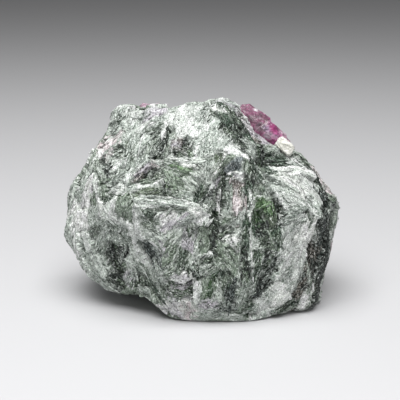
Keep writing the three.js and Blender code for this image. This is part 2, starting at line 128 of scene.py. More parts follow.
# The sheaves on the front: middle across and up the broad face from the block's middle,
# half length, half width, lie in degrees anticlockwise from level, mix, and how far it
# stands out, before RISE_SCALE.
FRONT_SHEAVES = [
    # the crest and the brow
    ("top left knob", -21.8, 27.6, 2.4, 2.2, 60, "pale mica", 0.1),
    ("knob rim", -19.8, 29.9, 3.4, 1.0, -22, "snow mica", 0.4),
    ("knob patch", -22.6, 26.0, 1.3, 0.8, 80, "dark green", -0.2),
    ("below the knob", -23.0, 23.2, 2.0, 1.8, 20, "pale mica", -0.1),
    ("crest pale", -18.2, 26.6, 3.0, 1.5, 80, "white mica", 0.1),
    ("crest slate", -14.4, 27.4, 3.6, 1.6, 8, "mauve", 0.2),
    ("crest specks", -11.2, 26.2, 1.5, 0.7, 50, "silver mica", -0.2),
    ("below the crest", -15.2, 24.6, 2.8, 1.2, 10, "white mica", 0.1),
    ("white brow", -4.6, 26.4, 4.4, 2.8, 88, "white mica", 0.4),
    ("brow left", -8.0, 26.6, 3.8, 1.3, 84, "white mica", 0.2),
    ("brow corner", -2.6, 22.6, 2.0, 1.2, 60, "white mica", 0.1),
    ("brow specks", -3.0, 20.6, 0.8, 0.7, 20, "dark flecks", -0.2),
    ("block left", 1.4, 26.6, 3.4, 1.5, 80, "silver mica", -0.1),
    ("rim knob", 3.2, 28.4, 1.2, 1.6, 20, "pit", 0.0),
    ("rim white", 5.4, 28.6, 1.5, 0.45, -70, "snow mica", 0.1),
    ("top rim", 6.0, 30.8, 4.4, 0.8, 4, "mauve", 0.2),
    ("top block", 7.8, 26.6, 3.0, 2.2, 84, "deep green", 0.4),
    ("block edge", 11.4, 24.8, 3.0, 1.7, -84, "pit", -0.2),
    ("block flecks", 9.8, 22.6, 2.2, 0.7, -30, "pit", -0.3),
    ("brow foot", 2.4, 21.4, 4.2, 2.2, 86, "pale mica", 0.2),
    ("foot streaks", 7.0, 20.2, 2.4, 1.2, 60, "silver mica", 0.0),
    ("between", -1.0, 18.4, 2.2, 1.4, 70, "silver mica", 0.1),
    ("between low", -0.4, 15.2, 2.2, 1.0, 10, "pale mica", -0.1),
    # the hollows below the brow
    ("hollow roof", -11.6, 23.4, 1.8, 0.7, 20, "grey mica", -0.1),
    ("upper hollow", -11.4, 19.4, 3.9, 2.1, 80, "pit", -0.7),
    ("hollow left", -13.5, 19.6, 3.4, 0.8, 74, "grey mica", -0.3),
    ("hollow right", -9.4, 19.4, 3.4, 0.9, -84, "grey mica", -0.3),
    ("hollow teeth", -12.8, 16.2, 1.9, 2.2, 20, "pit", -0.7),
    ("hollow sill", -12.4, 13.8, 2.0, 0.8, -20, "blush", 0.2),
    ("second hollow", -6.8, 19.0, 2.2, 1.6, -20, "brown", -0.3),
    ("hollow specks", -6.0, 16.7, 1.5, 1.2, 0, "pit", -0.4),
    ("right hollow", -3.3, 17.6, 1.8, 0.8, -62, "pit", -0.5),
    ("white thread", -5.6, 15.2, 3.2, 0.55, -12, "white mica", 0.3),
    # the streaks left of the hollows
    ("long white streak", -16.2, 19.8, 4.4, 0.9, 74, "pale mica", 0.1),
    ("streak foot", -18.2, 12.4, 4.0, 0.8, 70, "silver mica", 0.2),
    ("short streak", -15.3, 14.4, 1.8, 0.5, 68, "silver mica", 0.3),
    ("bow", -16.6, 11.4, 2.6, 0.7, 50, "brown", -0.1),
    ("left streaks", -19.2, 21.0, 4.2, 1.6, 86, "pale mica", 0.1),
    ("left streaks low", -20.0, 14.6, 3.4, 1.4, 84, "grey mica", 0.0),
    ("curl", -22.8, 16.4, 1.9, 1.4, 20, "grey mica", -0.3),
    ("curl white", -23.4, 13.3, 2.0, 0.7, 25, "white mica", 0.3),
    ("mauve slope", -25.8, 18.8, 3.8, 1.9, 40, "blush", 0.1),
    ("slope white", -28.2, 16.5, 1.6, 0.8, 60, "snow mica", 0.2),
    ("slope arc", -28.2, 12.2, 2.8, 0.7, -62, "grey mica", 0.1),
    ("slope dark", -26.2, 12.2, 2.4, 1.0, -50, "dark flecks", -0.3),
    ("slope green", -22.6, 10.6, 2.2, 1.4, 10, "grey mica", 0.0),
    ("slope grey", -24.4, 9.0, 1.8, 0.8, -10, "pale mica", -0.1),
    # the left end
    ("left limb", -31.8, 13.0, 6.0, 1.7, 58, "green mica", -0.2),
    ("limb pale", -30.3, 13.2, 2.8, 0.5, 66, "white mica", 0.1),
    ("limb streaks", -32.4, 8.8, 4.0, 1.1, 58, "pale mica", 0.0),
    ("left edge", -36.0, 3.8, 3.0, 1.3, 60, "pale mica", 0.2),
    ("pink left", -31.9, 4.8, 3.4, 2.2, 58, "lilac white", 0.2),
    ("grey oval", -27.3, 7.0, 1.9, 0.9, 84, "green mica", -0.3),
    ("white line", -28.8, 6.4, 3.4, 0.5, -78, "white mica", 0.3),
    ("grey wedge", -29.7, 4.2, 1.3, 0.7, 80, "green mica", -0.2),
    ("pocket blades", -23.8, 6.9, 2.4, 1.2, -20, "silver mica", 0.0),
    ("white spot", -21.3, 6.9, 0.8, 0.7, 84, "snow mica", 0.1),
    ("dark streak", -25.2, 4.8, 2.0, 0.7, 20, "dark green", -0.2),
    ("fan stem", -19.4, 6.4, 1.6, 1.4, 0, "silver mica", 0.0),
    # the fan of leaves and the pocket
    ("upright blades", -22.2, 2.2, 3.8, 1.2, 66, "green mica", 0.1),
    ("upright blades right", -20.1, 1.8, 3.2, 0.7, 72, "green mica", -0.2),
    ("pale fork", -24.3, 2.8, 3.2, 0.4, 64, "white mica", 0.3),
    ("fork left", -26.0, 2.2, 2.4, 0.8, 80, "white mica", 0.2),
    ("fork join", -25.2, -1.0, 1.8, 0.5, 20, "white mica", 0.3),
    ("white tick", -28.2, 1.8, 2.0, 0.65, -44, "snow mica", 0.2),
    ("fork low", -22.8, -2.5, 2.2, 0.8, -18, "white mica", 0.2),
    ("pocket", -14.8, 11.2, 1.5, 0.7, 34, "pit", -0.8),
    ("pocket wall", -12.2, 10.6, 1.9, 1.3, -20, "grey mica", -0.4),
    ("pocket shelf", -14.6, 9.2, 2.6, 0.6, 8, "green mica", -0.3),
    ("pocket right", -10.6, 12.0, 1.4, 0.8, 30, "grey mica", -0.3),
    ("ledge", -14.2, 8.2, 3.4, 0.65, -3, "white mica", 0.3),
    ("ledge low", -15.8, 6.3, 4.0, 1.1, -5, "green slab", 0.0),
    ("notch", -10.1, 7.8, 2.4, 1.7, -76, "pit", -0.9),
    ("notch left", -12.2, 6.1, 1.8, 1.1, 0, "pit", -0.5),
    ("green apron", -7.6, 9.2, 2.6, 1.2, -48, "leaf green", -0.1),
    ("apron shade", -5.4, 7.4, 1.6, 0.6, -45, "green mica", -0.2),
    ("apron top", -7.8, 13.4, 2.2, 1.0, -15, "green mica", -0.2),
    ("apron middle", -4.8, 11.4, 2.4, 1.1, -25, "leaf green", -0.1),
    ("apron light", -2.8, 8.8, 2.4, 1.2, -50, "lit green", 0.1),
    ("apron white", -2.4, 12.9, 1.8, 0.5, -12, "snow mica", 0.3),
    ("apron right", -0.2, 11.4, 1.8, 1.2, -40, "lit green", 0.0),
    ("apron foot", -5.0, 5.4, 2.8, 0.8, -20, "grey mica", 0.1),
    ("dark notch", 0.2, 5.8, 2.8, 1.1, 84, "dark green", -0.7),
    ("wedge top", -13.4, 4.3, 5.0, 0.7, -3, "pale mica", 0.2),
    ("level wedge", -8.6, 2.7, 6.0, 0.7, -7, "pale mica", 0.3),
    ("wedge tail", -15.4, 2.2, 3.0, 0.7, -8, "white mica", 0.2),
    ("wedge shadow", -8.4, 0.9, 4.8, 0.3, -2, "grey mica", -0.15),
    ("wedge end", 0.2, 0.9, 2.2, 2.2, -40, "snow mica", 0.4),
    ("wedge end low", 0.9, -2.2, 1.3, 1.2, 60, "white mica", 0.1),
    # below the fan
    ("stem top", -18.8, 1.2, 1.5, 0.7, -70, "mauve", -0.1),
    ("diagonal", -15.6, 0.4, 2.6, 0.7, -45, "deep green", 0.1),
    ("below the wedge left", -14.2, -3.0, 2.8, 1.2, -30, "grey mica", -0.1),
    ("below the wedge", -8.8, -2.6, 3.2, 1.6, 60, "lilac white", -0.1),
    ("below the wedge right", -4.0, -2.6, 1.8, 1.2, 40, "mauve", -0.1),
    ("wedge foot", -2.4, -7.2, 3.2, 1.5, 84, "mauve grey", -0.1),
    ("green leaf", -7.4, -6.4, 2.6, 1.1, 50, "lit green", -0.1),
    ("leaf left", -12.2, -6.4, 2.6, 1.1, -30, "pale mica", 0.1),
    ("left middle", -29.4, -0.8, 2.4, 1.5, 60, "pale mica", 0.0),
    ("pale left", -33.2, -3.0, 2.8, 2.0, 70, "snow mica", 0.1),
    ("left rim", -36.4, -3.6, 3.4, 1.1, 80, "pale mica", 0.5),
    ("left rim top", -35.6, 0.8, 2.0, 0.9, 30, "snow mica", 0.3),
    ("left fan", -28.2, -4.6, 3.0, 0.8, 42, "grey mica", -0.1),
    ("left fan low", -27.4, -6.9, 3.6, 1.0, 46, "pale mica", 0.0),
    ("pale left low", -32.0, -7.4, 2.4, 1.3, -60, "white mica", 0.4),
    ("left grain", -34.8, -7.0, 1.8, 1.1, 80, "white mica", 0.3),
    ("grey middle", -23.6, -5.8, 2.6, 1.3, -50, "grey mica", -0.1),
    ("middle pit", -22.0, -4.3, 1.1, 0.6, 60, "pale mica", 0.0),
    ("middle right", -20.4, -6.8, 2.6, 0.9, -52, "grey mica", 0.0),
    ("pale rib", -17.6, -3.4, 3.4, 0.7, 88, "white mica", 0.2),
    ("white rib", -17.9, -8.8, 2.8, 0.95, 86, "white mica", 0.6),
    ("rib foot", -16.8, -12.8, 2.6, 1.0, -68, "white mica", 0.2),
    ("dark blade", -14.2, -10.8, 3.6, 1.4, -62, "teal flecks", -0.3),
    ("blade edge", -11.8, -9.8, 3.0, 0.18, -58, "grey mica", 0.2),
    ("blade right", -10.2, -10.4, 2.0, 0.7, -60, "mauve", 0.0),
    ("lower green", -8.2, -11.8, 3.0, 1.1, 66, "green mica", 0.0),
    ("lower green foot", -9.2, -16.4, 2.2, 1.1, 30, "grey mica", 0.0),
    ("green teeth", -4.4, -12.6, 2.4, 1.3, 74, "deep green", -0.4),
    ("teeth right", -2.0, -12.6, 1.9, 1.0, 60, "pale mica", 0.1),
    ("teeth low", -1.4, -16.8, 2.4, 1.3, -76, "pit", -0.3),
    ("pink knob", -4.6, -18.6, 1.8, 1.3, 20, "lilac white", 0.1),
    ("knob shade", -8.6, -19.8, 1.6, 0.8, -20, "pit", -0.3),
    # the lobe at the lower left
    ("lobe pit", -24.3, -12.6, 2.8, 1.3, -58, "pit", -0.8),
    ("lobe pit low", -22.0, -15.6, 2.6, 1.1, -30, "pit", -0.5),
    ("pit edge", -21.3, -11.2, 1.3, 0.8, 60, "dark flecks", -0.2),
    ("lobe mauve", -20.2, -18.2, 1.9, 1.3, 80, "mauve", -0.1),
    ("lobe flecks", -23.2, -19.6, 2.2, 1.3, -60, "pit", -0.3),
    ("lobe", -28.4, -14.4, 3.0, 1.9, -64, "pale mica", 0.4),
    ("lobe line", -31.2, -13.2, 3.2, 0.5, -70, "pale mica", -0.2),
    ("lobe rim", -27.4, -19.6, 3.4, 0.8, -36, "pale mica", 0.1),
    ("lobe top", -27.4, -9.6, 1.8, 0.8, 60, "deep green", -0.2),
    ("lobe seam", -18.4, -14.6, 2.8, 1.2, -60, "pale mica", 0.0),
    ("seam low", -17.2, -19.4, 1.8, 1.0, 80, "pit", -0.3),
    ("strand", -15.4, -15.6, 4.4, 0.6, -58, "grey mica", 0.1),
    ("seam foot", -13.4, -19.8, 3.6, 0.9, -55, "deep green", -0.2),
    ("strand right", -11.6, -17.6, 3.2, 0.8, -50, "silver mica", 0.1),
    # the foot
    ("foot edge", -15.4, -22.0, 2.2, 0.8, -60, "pale mica", 0.1),
    ("foot left", -10.8, -22.2, 2.6, 1.2, -45, "grey mica", -0.4),
    ("foot hollow", -4.8, -22.2, 3.0, 1.5, 0, "mauve grey", -0.4),
    ("foot", -7.2, -26.6, 3.4, 2.2, -40, "lilac white", 0.2),
    ("foot right", -3.2, -27.0, 2.4, 1.6, 80, "blush", 0.1),
    ("foot white", -1.2, -23.2, 3.0, 0.7, 86, "white mica", 0.2),
    ("foot specks", 1.8, -25.8, 2.4, 1.3, 0, "mauve", 0.0),
    ("foot rim", 3.0, -28.8, 4.4, 0.9, 0, "pale mica", 0.0),
    # the upright strips in the middle
    ("patch arc", 3.8, 16.5, 2.8, 0.3, 8, "pale mica", 0.1),
    ("grey patch", 4.0, 14.0, 2.0, 1.9, 80, "green slab", 0.0),
    ("patch foot", 1.6, 10.4, 2.0, 0.9, 84, "pale mica", 0.0),
    ("white cap", 9.4, 17.8, 2.2, 1.5, -24, "white mica", 0.4),
    ("cap right", 13.0, 15.7, 1.4, 0.7, -32, "white mica", 0.3),
    ("slate cap", 9.9, 13.0, 2.1, 2.5, 88, "slate", 0.3),
    ("cap shade", 6.8, 12.6, 2.6, 0.7, 58, "green mica", -0.1),
    ("cap strip", 13.7, 12.6, 2.2, 1.1, 84, "green mica", -0.1),
    ("speckled column", 1.8, 4.0, 2.0, 0.9, 40, "dark flecks", -0.3),
    ("gully", 6.3, 5.0, 4.2, 0.8, 87, "pit", -0.9),
    ("gully left", 3.6, 2.0, 1.2, 1.1, 60, "grey mica", -0.1),
    ("lower gully", 4.6, -4.4, 4.4, 1.0, 86, "pit", -0.7),
    ("mottled middle", 0.8, -8.0, 3.0, 1.4, 84, "green mica", -0.2),
    ("pink strip", 10.2, 5.0, 4.2, 1.5, 88, "fawn", 0.2),
    ("strip left", 7.7, 2.2, 3.0, 0.7, 88, "grey mica", 0.0),
    ("green knob", 7.6, -1.6, 1.5, 1.1, 30, "green mica", 0.0),
    ("strip foot", 10.2, -2.2, 2.2, 1.3, 60, "pale mica", 0.1),
    ("dark slab", 7.2, -5.4, 1.9, 1.4, 30, "pit", -0.3),
    ("pale knots", 8.9, -8.0, 1.8, 1.2, -50, "snow mica", 0.3),
    ("knots left", 6.0, -8.8, 1.5, 0.9, -30, "green mica", -0.1),
    ("olive window", 12.3, -7.2, 2.0, 1.3, 80, "dark green", 0.0),
    ("beside the strip", 12.9, 4.6, 5.6, 0.7, 88, "dark green", -0.4),
    ("inner strip", 15.0, 7.6, 3.0, 0.6, 88, "pit", -0.3),
    ("white upright", 14.2, -8.2, 11.0, 0.2, -87.5, "pale mica", 0.15),
    ("slab edge", 10.7, -13.8, 3.8, 0.3, 88, "grey mica", 0.2),
    ("olive slab", 12.4, -14.4, 4.2, 1.2, 88, "pit", -0.2),
    ("right of the upright", 16.2, -14.2, 4.8, 0.9, 86, "dark green", -0.1),
    ("upright knots", 16.8, -9.2, 1.6, 1.0, 0, "pale mica", 0.0),
    # the vivid pocket and the dark triangle
    ("inner shade", 17.2, 7.4, 2.8, 1.2, -66, "deep green", -0.5),
    ("pocket rim", 15.8, 4.2, 1.8, 0.5, 14, "leaf green", 0.1),
    ("pocket rim left", 14.3, 2.4, 2.2, 0.85, 76, "snow mica", 0.4),
    ("pocket glow", 17.0, 2.5, 2.3, 1.7, 20, "clear green", 0.0),
    ("vivid pocket", 16.2, -1.4, 2.8, 1.7, -80, "vivid green", -0.7),
    ("pocket side", 18.8, -0.4, 2.8, 0.9, -76, "green slab", -0.4),
    ("pocket tongue", 17.8, -5.6, 2.8, 1.0, -68, "pit", -0.6),
    ("tongue right", 19.6, -6.6, 2.4, 0.6, -70, "green mica", 0.0),
    ("dark triangle", 21.6, 1.4, 2.6, 0.9, -76, "pit", -0.6),
    ("triangle foot", 21.2, -5.8, 2.6, 1.1, -80, "dark green", -0.3),
    ("white branch", 23.6, 2.2, 3.6, 0.35, -56, "silver mica", 0.2),
    # the recess under the ruby
    ("mauve recess", 16.0, 22.2, 3.0, 1.8, -46, "brown", -0.4),
    ("recess left", 13.0, 22.0, 2.4, 0.8, -76, "deep green", -0.3),
    ("recess foot", 15.0, 18.0, 2.2, 1.3, -44, "pale mica", 0.1),
    ("crack", 17.1, 16.6, 2.6, 1.0, 88, "pit", -0.9),
    ("below the grain", 18.9, 17.8, 1.3, 1.1, 20, "grey mica", 0.0),
    ("seam top", 12.9, 17.4, 3.0, 1.1, -52, "pit", -0.4),
    ("shoulder seam", 17.0, 10.6, 6.4, 0.22, -55, "dark green", 0.0),
    ("shoulder notch", 18.6, 12.6, 2.2, 1.3, -50, "deep green", -0.3),
    ("dark band", 22.6, 14.8, 3.4, 1.0, 0, "deep green", -0.3),
    ("band light", 26.6, 14.2, 1.8, 0.9, -20, "silver mica", -0.4),
    # the shoulder
    ("shoulder top", 25.6, 11.8, 4.2, 1.2, 12, "snow mica", 0.4),
    ("shoulder", 25.0, 8.4, 4.6, 1.5, -24, "snow mica", 0.3),
    ("shoulder streak", 23.8, 6.6, 3.6, 0.5, -26, "pale mica", 0.0),
    ("shoulder low", 26.2, 3.8, 4.2, 1.2, -28, "silver mica", 0.2),
    ("shoulder right", 30.6, 6.8, 4.6, 1.9, -50, "white mica", 0.2),
    ("shoulder corner", 31.8, 1.8, 2.4, 1.3, -40, "silver mica", 0.2),
    ("right rim", 33.8, 8.4, 6.4, 0.7, -54, "pit", -0.4),
    # the right end
    ("right mottle", 26.2, -1.2, 3.0, 1.6, 20, "silver mica", 0.0),
    ("right pit", 30.7, -1.8, 1.6, 0.8, -80, "deep green", -0.3),
    ("white flecks", 29.4, -6.4, 2.6, 1.6, 70, "snow mica", 0.1),
    ("pale right", 25.0, -7.0, 3.2, 1.7, 80, "silver mica", 0.0),
    ("pale right low", 24.4, -13.2, 3.0, 1.5, 60, "white mica", 0.1),
    ("right column", 27.6, -12.4, 3.8, 0.9, 84, "white mica", 0.0),
    ("corner slope", 25.6, -17.8, 2.6, 1.7, 80, "silver mica", 0.0),
    ("corner brown", 28.2, -20.4, 3.4, 0.9, 80, "brown pit", -0.2),
    ("white knob", 22.2, -22.8, 2.4, 1.9, 50, "snow mica", 0.4),
    ("corner spot", 28.8, -24.0, 1.6, 0.8, 60, "snow mica", 0.1),
    ("corner foot", 24.6, -26.4, 3.4, 0.9, 8, "deep green", 0.0),
    ("corner rib", 30.4, -18.8, 6.4, 0.3, -78, "grey mica", 0.2),
    ("brown hollow", 31.6, -13.2, 3.8, 1.2, -80, "brown pit", -0.7),
    # The right end turns away from the light; these near-black sheaves are partly painted shade.
    ("end black", 33.6, -8.4, 2.6, 1.4, -76, "end", -0.1),
    ("dark end", 34.8, -2.4, 3.4, 1.9, -80, "end", -0.4),
    ("end edge", 36.2, -4.6, 5.6, 0.8, -84, "end", -0.1),
    ("dark end low", 34.2, -15.6, 5.0, 2.0, -84, "end", 0.4),
    ("dark end top", 35.8, 2.8, 2.4, 1.1, -64, "end", -0.6),
    # the lower middle
    ("white bar", 2.2, -11.7, 1.8, 0.25, 3, "white mica", 0.3),
    ("black spot", 2.6, -13.0, 1.2, 0.8, 10, "pit", -0.2),
    ("lower fan", 6.8, -13.3, 3.2, 1.1, -46, "green mica", 0.2),
    ("fan shade", 9.1, -12.0, 2.0, 0.6, -55, "green mica", -0.3),
    ("lower mottle", 2.0, -16.6, 2.6, 1.3, 30, "grey mica", 0.0),
    ("lower shade", 7.2, -17.8, 2.2, 1.0, 80, "deep green", -0.3),
    ("middle green", 3.0, -20.8, 2.0, 0.8, 80, "vivid green", 0.0),
    ("middle rim", 4.7, -21.8, 2.4, 0.8, -70, "lit green", 0.1),
    ("middle white", 0.8, -21.6, 1.8, 0.7, 80, "green mica", 0.0),
    ("teal strip", 7.8, -24.2, 4.6, 1.4, 88, "teal flecks", -0.4),
    ("foot light", 12.2, -22.4, 2.6, 1.5, 70, "grey mica", 0.0),
    ("foot knots", 12.6, -26.8, 2.0, 1.6, 30, "deep green", -0.3),
    ("black foot", 16.7, -21.4, 1.8, 1.4, 60, "end", -0.4),
    ("foot grey", 17.6, -25.4, 2.2, 1.4, 70, "silver mica", -0.2),
    ("teal patch", 19.5, -14.8, 4.0, 1.9, 70, "dark flecks", -0.3),
    ("patch rim", 2.0, 14.2, 1.8, 0.28, 84, "grey mica", 0.2),
    ("shade rim", 5.2, 12.4, 2.2, 0.6, 62, "snow mica", 0.4),
    ("under the cap", 10.0, 9.8, 1.9, 1.0, 0, "lilac white", 0.4),
    ("strip specks", 7.6, 7.6, 1.6, 0.5, 80, "grey mica", 0.0),
    ("gully thread", 5.9, 4.2, 4.6, 0.32, 88, "snow mica", 0.4),
    ("gully side", 3.9, 7.2, 2.2, 0.8, 60, "mauve", -0.1),
    ("brow edge", -9.6, 24.8, 3.0, 0.9, 80, "snow mica", 0.1),
    ("strip brown", 13.6, 8.8, 1.4, 1.0, 80, "dark green", -0.2),
    ("seam dark", 15.9, 10.4, 4.6, 0.45, -57, "dark green", -0.3),
    ("crest white", -5.2, 29.2, 5.0, 1.0, 3, "pale mica", 0.3),
]

# Everywhere else, sheaves lie at random: how often each mix comes up.
OTHER_MIXES = {
    "silver mica": 5, "pale mica": 4, "green mica": 6, "deep green": 3, "white mica": 3,
    "lit green": 1, "blush": 2, "mauve": 2, "slate": 1, "brown": 1, "dark flecks": 2, "gully": 1,
    "green slab": 2,
}

# ------------------------------------------------------------------ settings


def colour(name, description, default):
    """A colour property, as linear red, green and blue."""
    return FloatVectorProperty(
        name=name, description=description, default=default, subtype="COLOR", size=3, min=0, max=1
    )


def length(name, description, default):
    """A length property in millimetres."""
    return FloatProperty(name=name, description=f"{description}, in millimetres", default=default, min=0)


def whole(name, description, default, least=0):
    """A whole-number property."""
    return IntProperty(name=name, description=description, default=default, min=least)


def strength(name, description, default, unit="NONE"):
    """A light's power or strength."""
    return FloatProperty(name=name, description=description, default=default, min=0, unit=unit)


class RubyRockColours(PropertyGroup):
    """The colours of the rock's minerals."""

    snow: colour("Snow", "The whitest mica", (0.60, 0.615, 0.59))
    white: colour("White", "White mica and feldspar splinters", (0.55, 0.57, 0.55))
    pale: colour("Pale", "Pale green mica", (0.44, 0.475, 0.44))
    silver: colour("Silver", "Silvery green mica", (0.30, 0.335, 0.305))
    sage: colour("Sage", "Grey-green mica", (0.165, 0.195, 0.16))
    fern: colour("Fern", "Clear grey-green mica", (0.20, 0.24, 0.195))
    moss: colour("Moss", "Dark grey-green mica", (0.085, 0.115, 0.08))
    pine: colour("Pine", "Dark green mica", (0.035, 0.06, 0.04))
    soot: colour("Soot", "Black mica", (0.016, 0.022, 0.018))
    vivid: colour("Vivid", "Clear green mica", (0.075, 0.13, 0.06))
    spring: colour("Spring green", "Clear light green mica", (0.16, 0.25, 0.13))
    olive: colour("Olive", "Olive slabs", (0.115, 0.145, 0.10))
    slate: colour("Slate", "Blue-grey slabs", (0.19, 0.215, 0.22))
    teal: colour("Teal", "Dark blue-green mica", (0.034, 0.046, 0.043))
    mauve: colour("Mauve", "Mauve-grey altered rock", (0.39, 0.375, 0.40))
    blush: colour("Blush", "Pale pink altered rock", (0.535, 0.485, 0.49))
    umber: colour("Umber", "Brown-grey crust", (0.15, 0.14, 0.12))


class RubyRockSizes(PropertyGroup):
    """The rock's driving sizes."""

    grid: whole("Grid", "Cells along each side of the skin's six grids", 127, 8)
    worn: whole("Wear", "Rounds of smoothing over the block's facets", 5)
    blade_long: length("Blade length", "Usual length of a blade in the skin", 4.4)
    blade_wide: length("Blade width", "Usual width of a blade in the skin", 0.75)
    grit: length("Grit", "Height of the fine roughness", 0.18)
    plates: whole("Plates", "Flat cleavage plates in the skin", 3400)
    plate_long: length("Plate length", "Usual length of a plate", 3.2)
    laths: whole("Loose blades", "Loose-ended blades, with four fibres to each", 800)
    lath_long: length("Loose blade length", "Usual length of a loose-ended blade", 2.2)
    lath_wide: length("Loose blade width", "Usual width of a loose-ended blade", 0.42)


class RubyStageSettings(PropertyGroup):
    """The floor's colour and the lights."""

    floor_colour: colour("Floor", "The pale floor", (0.56, 0.56, 0.57))
    key_power: strength("Key", "The softbox above, in watts", 5.7, "POWER")
    fill_power: strength("Fill", "The softbox in front, in watts", 1.0, "POWER")
    room: strength("Room", "Strength of the light from all round", 0.14)


# ------------------------------------------------------------------ numbers and noise

HASH_START = 2166136261
HASH_FACTORS = (np.uint32(16777619), np.uint32(2246822519))


def hashed(*keys):
    """A repeatable share from 0 to 1 for whole-number keys: each key is mixed in by xor,
    multiplication and shifts."""
    h = np.full(np.broadcast(*keys).shape, HASH_START, np.uint32)
    for key in keys:
        h = (h ^ np.asarray(key).astype(np.int64).astype(np.uint32)) * HASH_FACTORS[0]
        h = (h ^ (h >> np.uint32(15))) * HASH_FACTORS[1]
        h = h ^ (h >> np.uint32(13))
    return h / 2.0**32


def other_share(shares, factor):
    """Another share from 0 to 1 drawn from each one: the fraction of its product."""
    return np.modf(shares * factor)[0]


def noise(points, grain, seed):
    """Smooth noise from -1 to 1: repeatable values at the corners of cubes of side grain,
    blended across each cube by 3f^2 - 2f^3."""
    p = points / grain
    cell = np.floor(p).astype(np.int64)
    f = p - cell
    f = f * f * (3 - 2 * f)
    total = 0
    for corner in itertools.product((0, 1), repeat=3):
        weight = np.prod(np.where(corner, f, 1 - f), axis=-1)
        total = total + weight * hashed(*(cell + corner).T, seed)
    return 2 * total - 1


def noise_of(row, points, seed=0):
    """Noise by a table's row: its strength, its grain, and its own seed, counted from the
    given one."""
    strong, grain, own_seed = row
    return strong * noise(points, grain, seed + own_seed)


def ramp(values, start, end):
    """0 below start, 1 above end, and 3x^2 - 2x^3 between."""
    x = np.clip((values - start) / (end - start), 0, 1)
    return x * x * (3 - 2 * x)


def unit(vectors):
    """Each vector divided by its length."""
    return vectors / np.maximum(np.linalg.norm(vectors, axis=-1, keepdims=True), 1e-12)


def square_to(vectors, normals):
    """Each vector's part that is square to its normal, as a unit vector."""
    return unit(vectors - normals * (vectors * normals).sum(1, keepdims=True))


def turned(first, second, angle):
    """Two axes turned in their plane: cos * first + sin * second, and cos * second - sin *
    first."""
    return (
        np.cos(angle) * first + np.sin(angle) * second,
        np.cos(angle) * second - np.sin(angle) * first,
    )


# ------------------------------------------------------------------ meshes


def mesh_object(name, points, faces):
    """A mesh object from points in millimetres and an array of faces."""
    mesh = bpy.data.meshes.new(name)
    mesh.vertices.add(len(points))
    mesh.vertices.foreach_set("co", (points * MM).astype(np.float32).ravel())
    mesh.loops.add(faces.size)
    mesh.loops.foreach_set("vertex_index", faces.ravel().astype(np.int32))
    mesh.polygons.add(len(faces))
    mesh.polygons.foreach_set("loop_start", np.arange(0, faces.size, faces.shape[1], dtype=np.int32))
    mesh.update(calc_edges=True)
    mesh.validate()
    thing = bpy.data.objects.new(name, mesh)
    bpy.context.scene.collection.objects.link(thing)
    return thing


def vertex_rows(mesh, kind):
    """Each vertex's place, "co", or its "normal", as rows of three."""
    rows = np.empty(len(mesh.vertices) * 3, np.float32)
    mesh.vertices.foreach_get(kind, rows)
    return rows.reshape(-1, 3).astype(float)


def paint(piece, tint, felt=None, grain=None, domain="POINT"):
    """Stores each point's colour, with how felted it is as its alpha, and each point's or
    face corner's place in its sheaf."""
    felt = np.ones(len(tint)) if felt is None else felt
    colours = piece.data.attributes.new("tint", "FLOAT_COLOR", "POINT")
    colours.data.foreach_set("color", np.column_stack([tint, felt]).astype(np.float32).ravel())
    if grain is not None:
        places = piece.data.attributes.new("grain", "FLOAT_VECTOR", domain)
        places.data.foreach_set("vector", grain.astype(np.float32).ravel())


def square_crosses(points, squares):
    """The cross product of each square's diagonals: its normal, twice its area long."""
    a, b, c, d = points[squares].transpose(1, 0, 2)
    return np.cross(c - a, d - b)


def point_normals(points, squares):
    """Each point's normal: the sum of its squares' cross products, as a unit vector."""
    crosses = square_crosses(points, squares)
    sums = [np.bincount(squares.ravel(), np.repeat(part, 4), len(points)) for part in crosses.T]
    return unit(np.stack(sums, axis=1))


def neighbour_mean(values, edges, rounds, only=None):
    """Values, one per point, each moved to the mean of its neighbours' in every round."""
    counts = np.bincount(edges.ravel(), minlength=len(values))
    for _ in range(rounds):
        total = np.bincount(edges[:, 0], values[edges[:, 1]], len(values))
        total += np.bincount(edges[:, 1], values[edges[:, 0]], len(values))
        values = total / counts if only is None else np.where(only, total / counts, values)
    return values


def tube_faces(around, rings, tipped):
    """Triangles of a closed tube of rings. Its ends run out to tips, which are the first
    and the last point, or are shut by fans."""
    start = int(tipped)
    last = start + (rings - 1) * around
    ring, k = (grid.ravel() for grid in np.meshgrid(range(rings - 1), range(around), indexing="ij"))
    a, b = start + ring * around + k, start + ring * around + (k + 1) % around
    walls = np.stack([[a, b, b + around], [a, b + around, a + around]])
    walls = walls.transpose(0, 2, 1).reshape(-1, 3)
    if tipped:
        k = np.arange(around)
        after = (k + 1) % around
        first_end = np.stack([0 * k, start + after, start + k], axis=1)
        last_end = np.stack([0 * k + last + around, last + k, last + after], axis=1)
    else:
        k = np.arange(1, around - 1)
        first_end = np.stack([0 * k, k + 1, k], axis=1)
        last_end = last + np.stack([0 * k, k, k + 1], axis=1)
    return np.concatenate([first_end, walls, last_end]).astype(int)


# ------------------------------------------------------------------ the bare skin

CUBE_FACES = [
    ((1, 0, 0), (0, 1, 0), (0, 0, 1)),
    ((-1, 0, 0), (0, 0, 1), (0, 1, 0)),
    ((0, 1, 0), (0, 0, 1), (1, 0, 0)),
    ((0, -1, 0), (1, 0, 0), (0, 0, 1)),
    ((0, 0, 1), (1, 0, 0), (0, 1, 0)),
    ((0, 0, -1), (0, 1, 0), (1, 0, 0)),
]
START_RADIUS = 80.0  # well outside the block
SET_IN = ("shoulder_ruby", "crest_ruby", "feldspar_grain")  # the solids that sit in sockets
SOCKET_RIM_ROUNDS = 3  # rounds of neighbours by which a socket is taken wider
SOCKET_ROUNDS = 400  # rounds of smoothing that close a socket over
EVEN_ROUNDS = 12  # rounds of smoothing that even the normals out over a blade's length


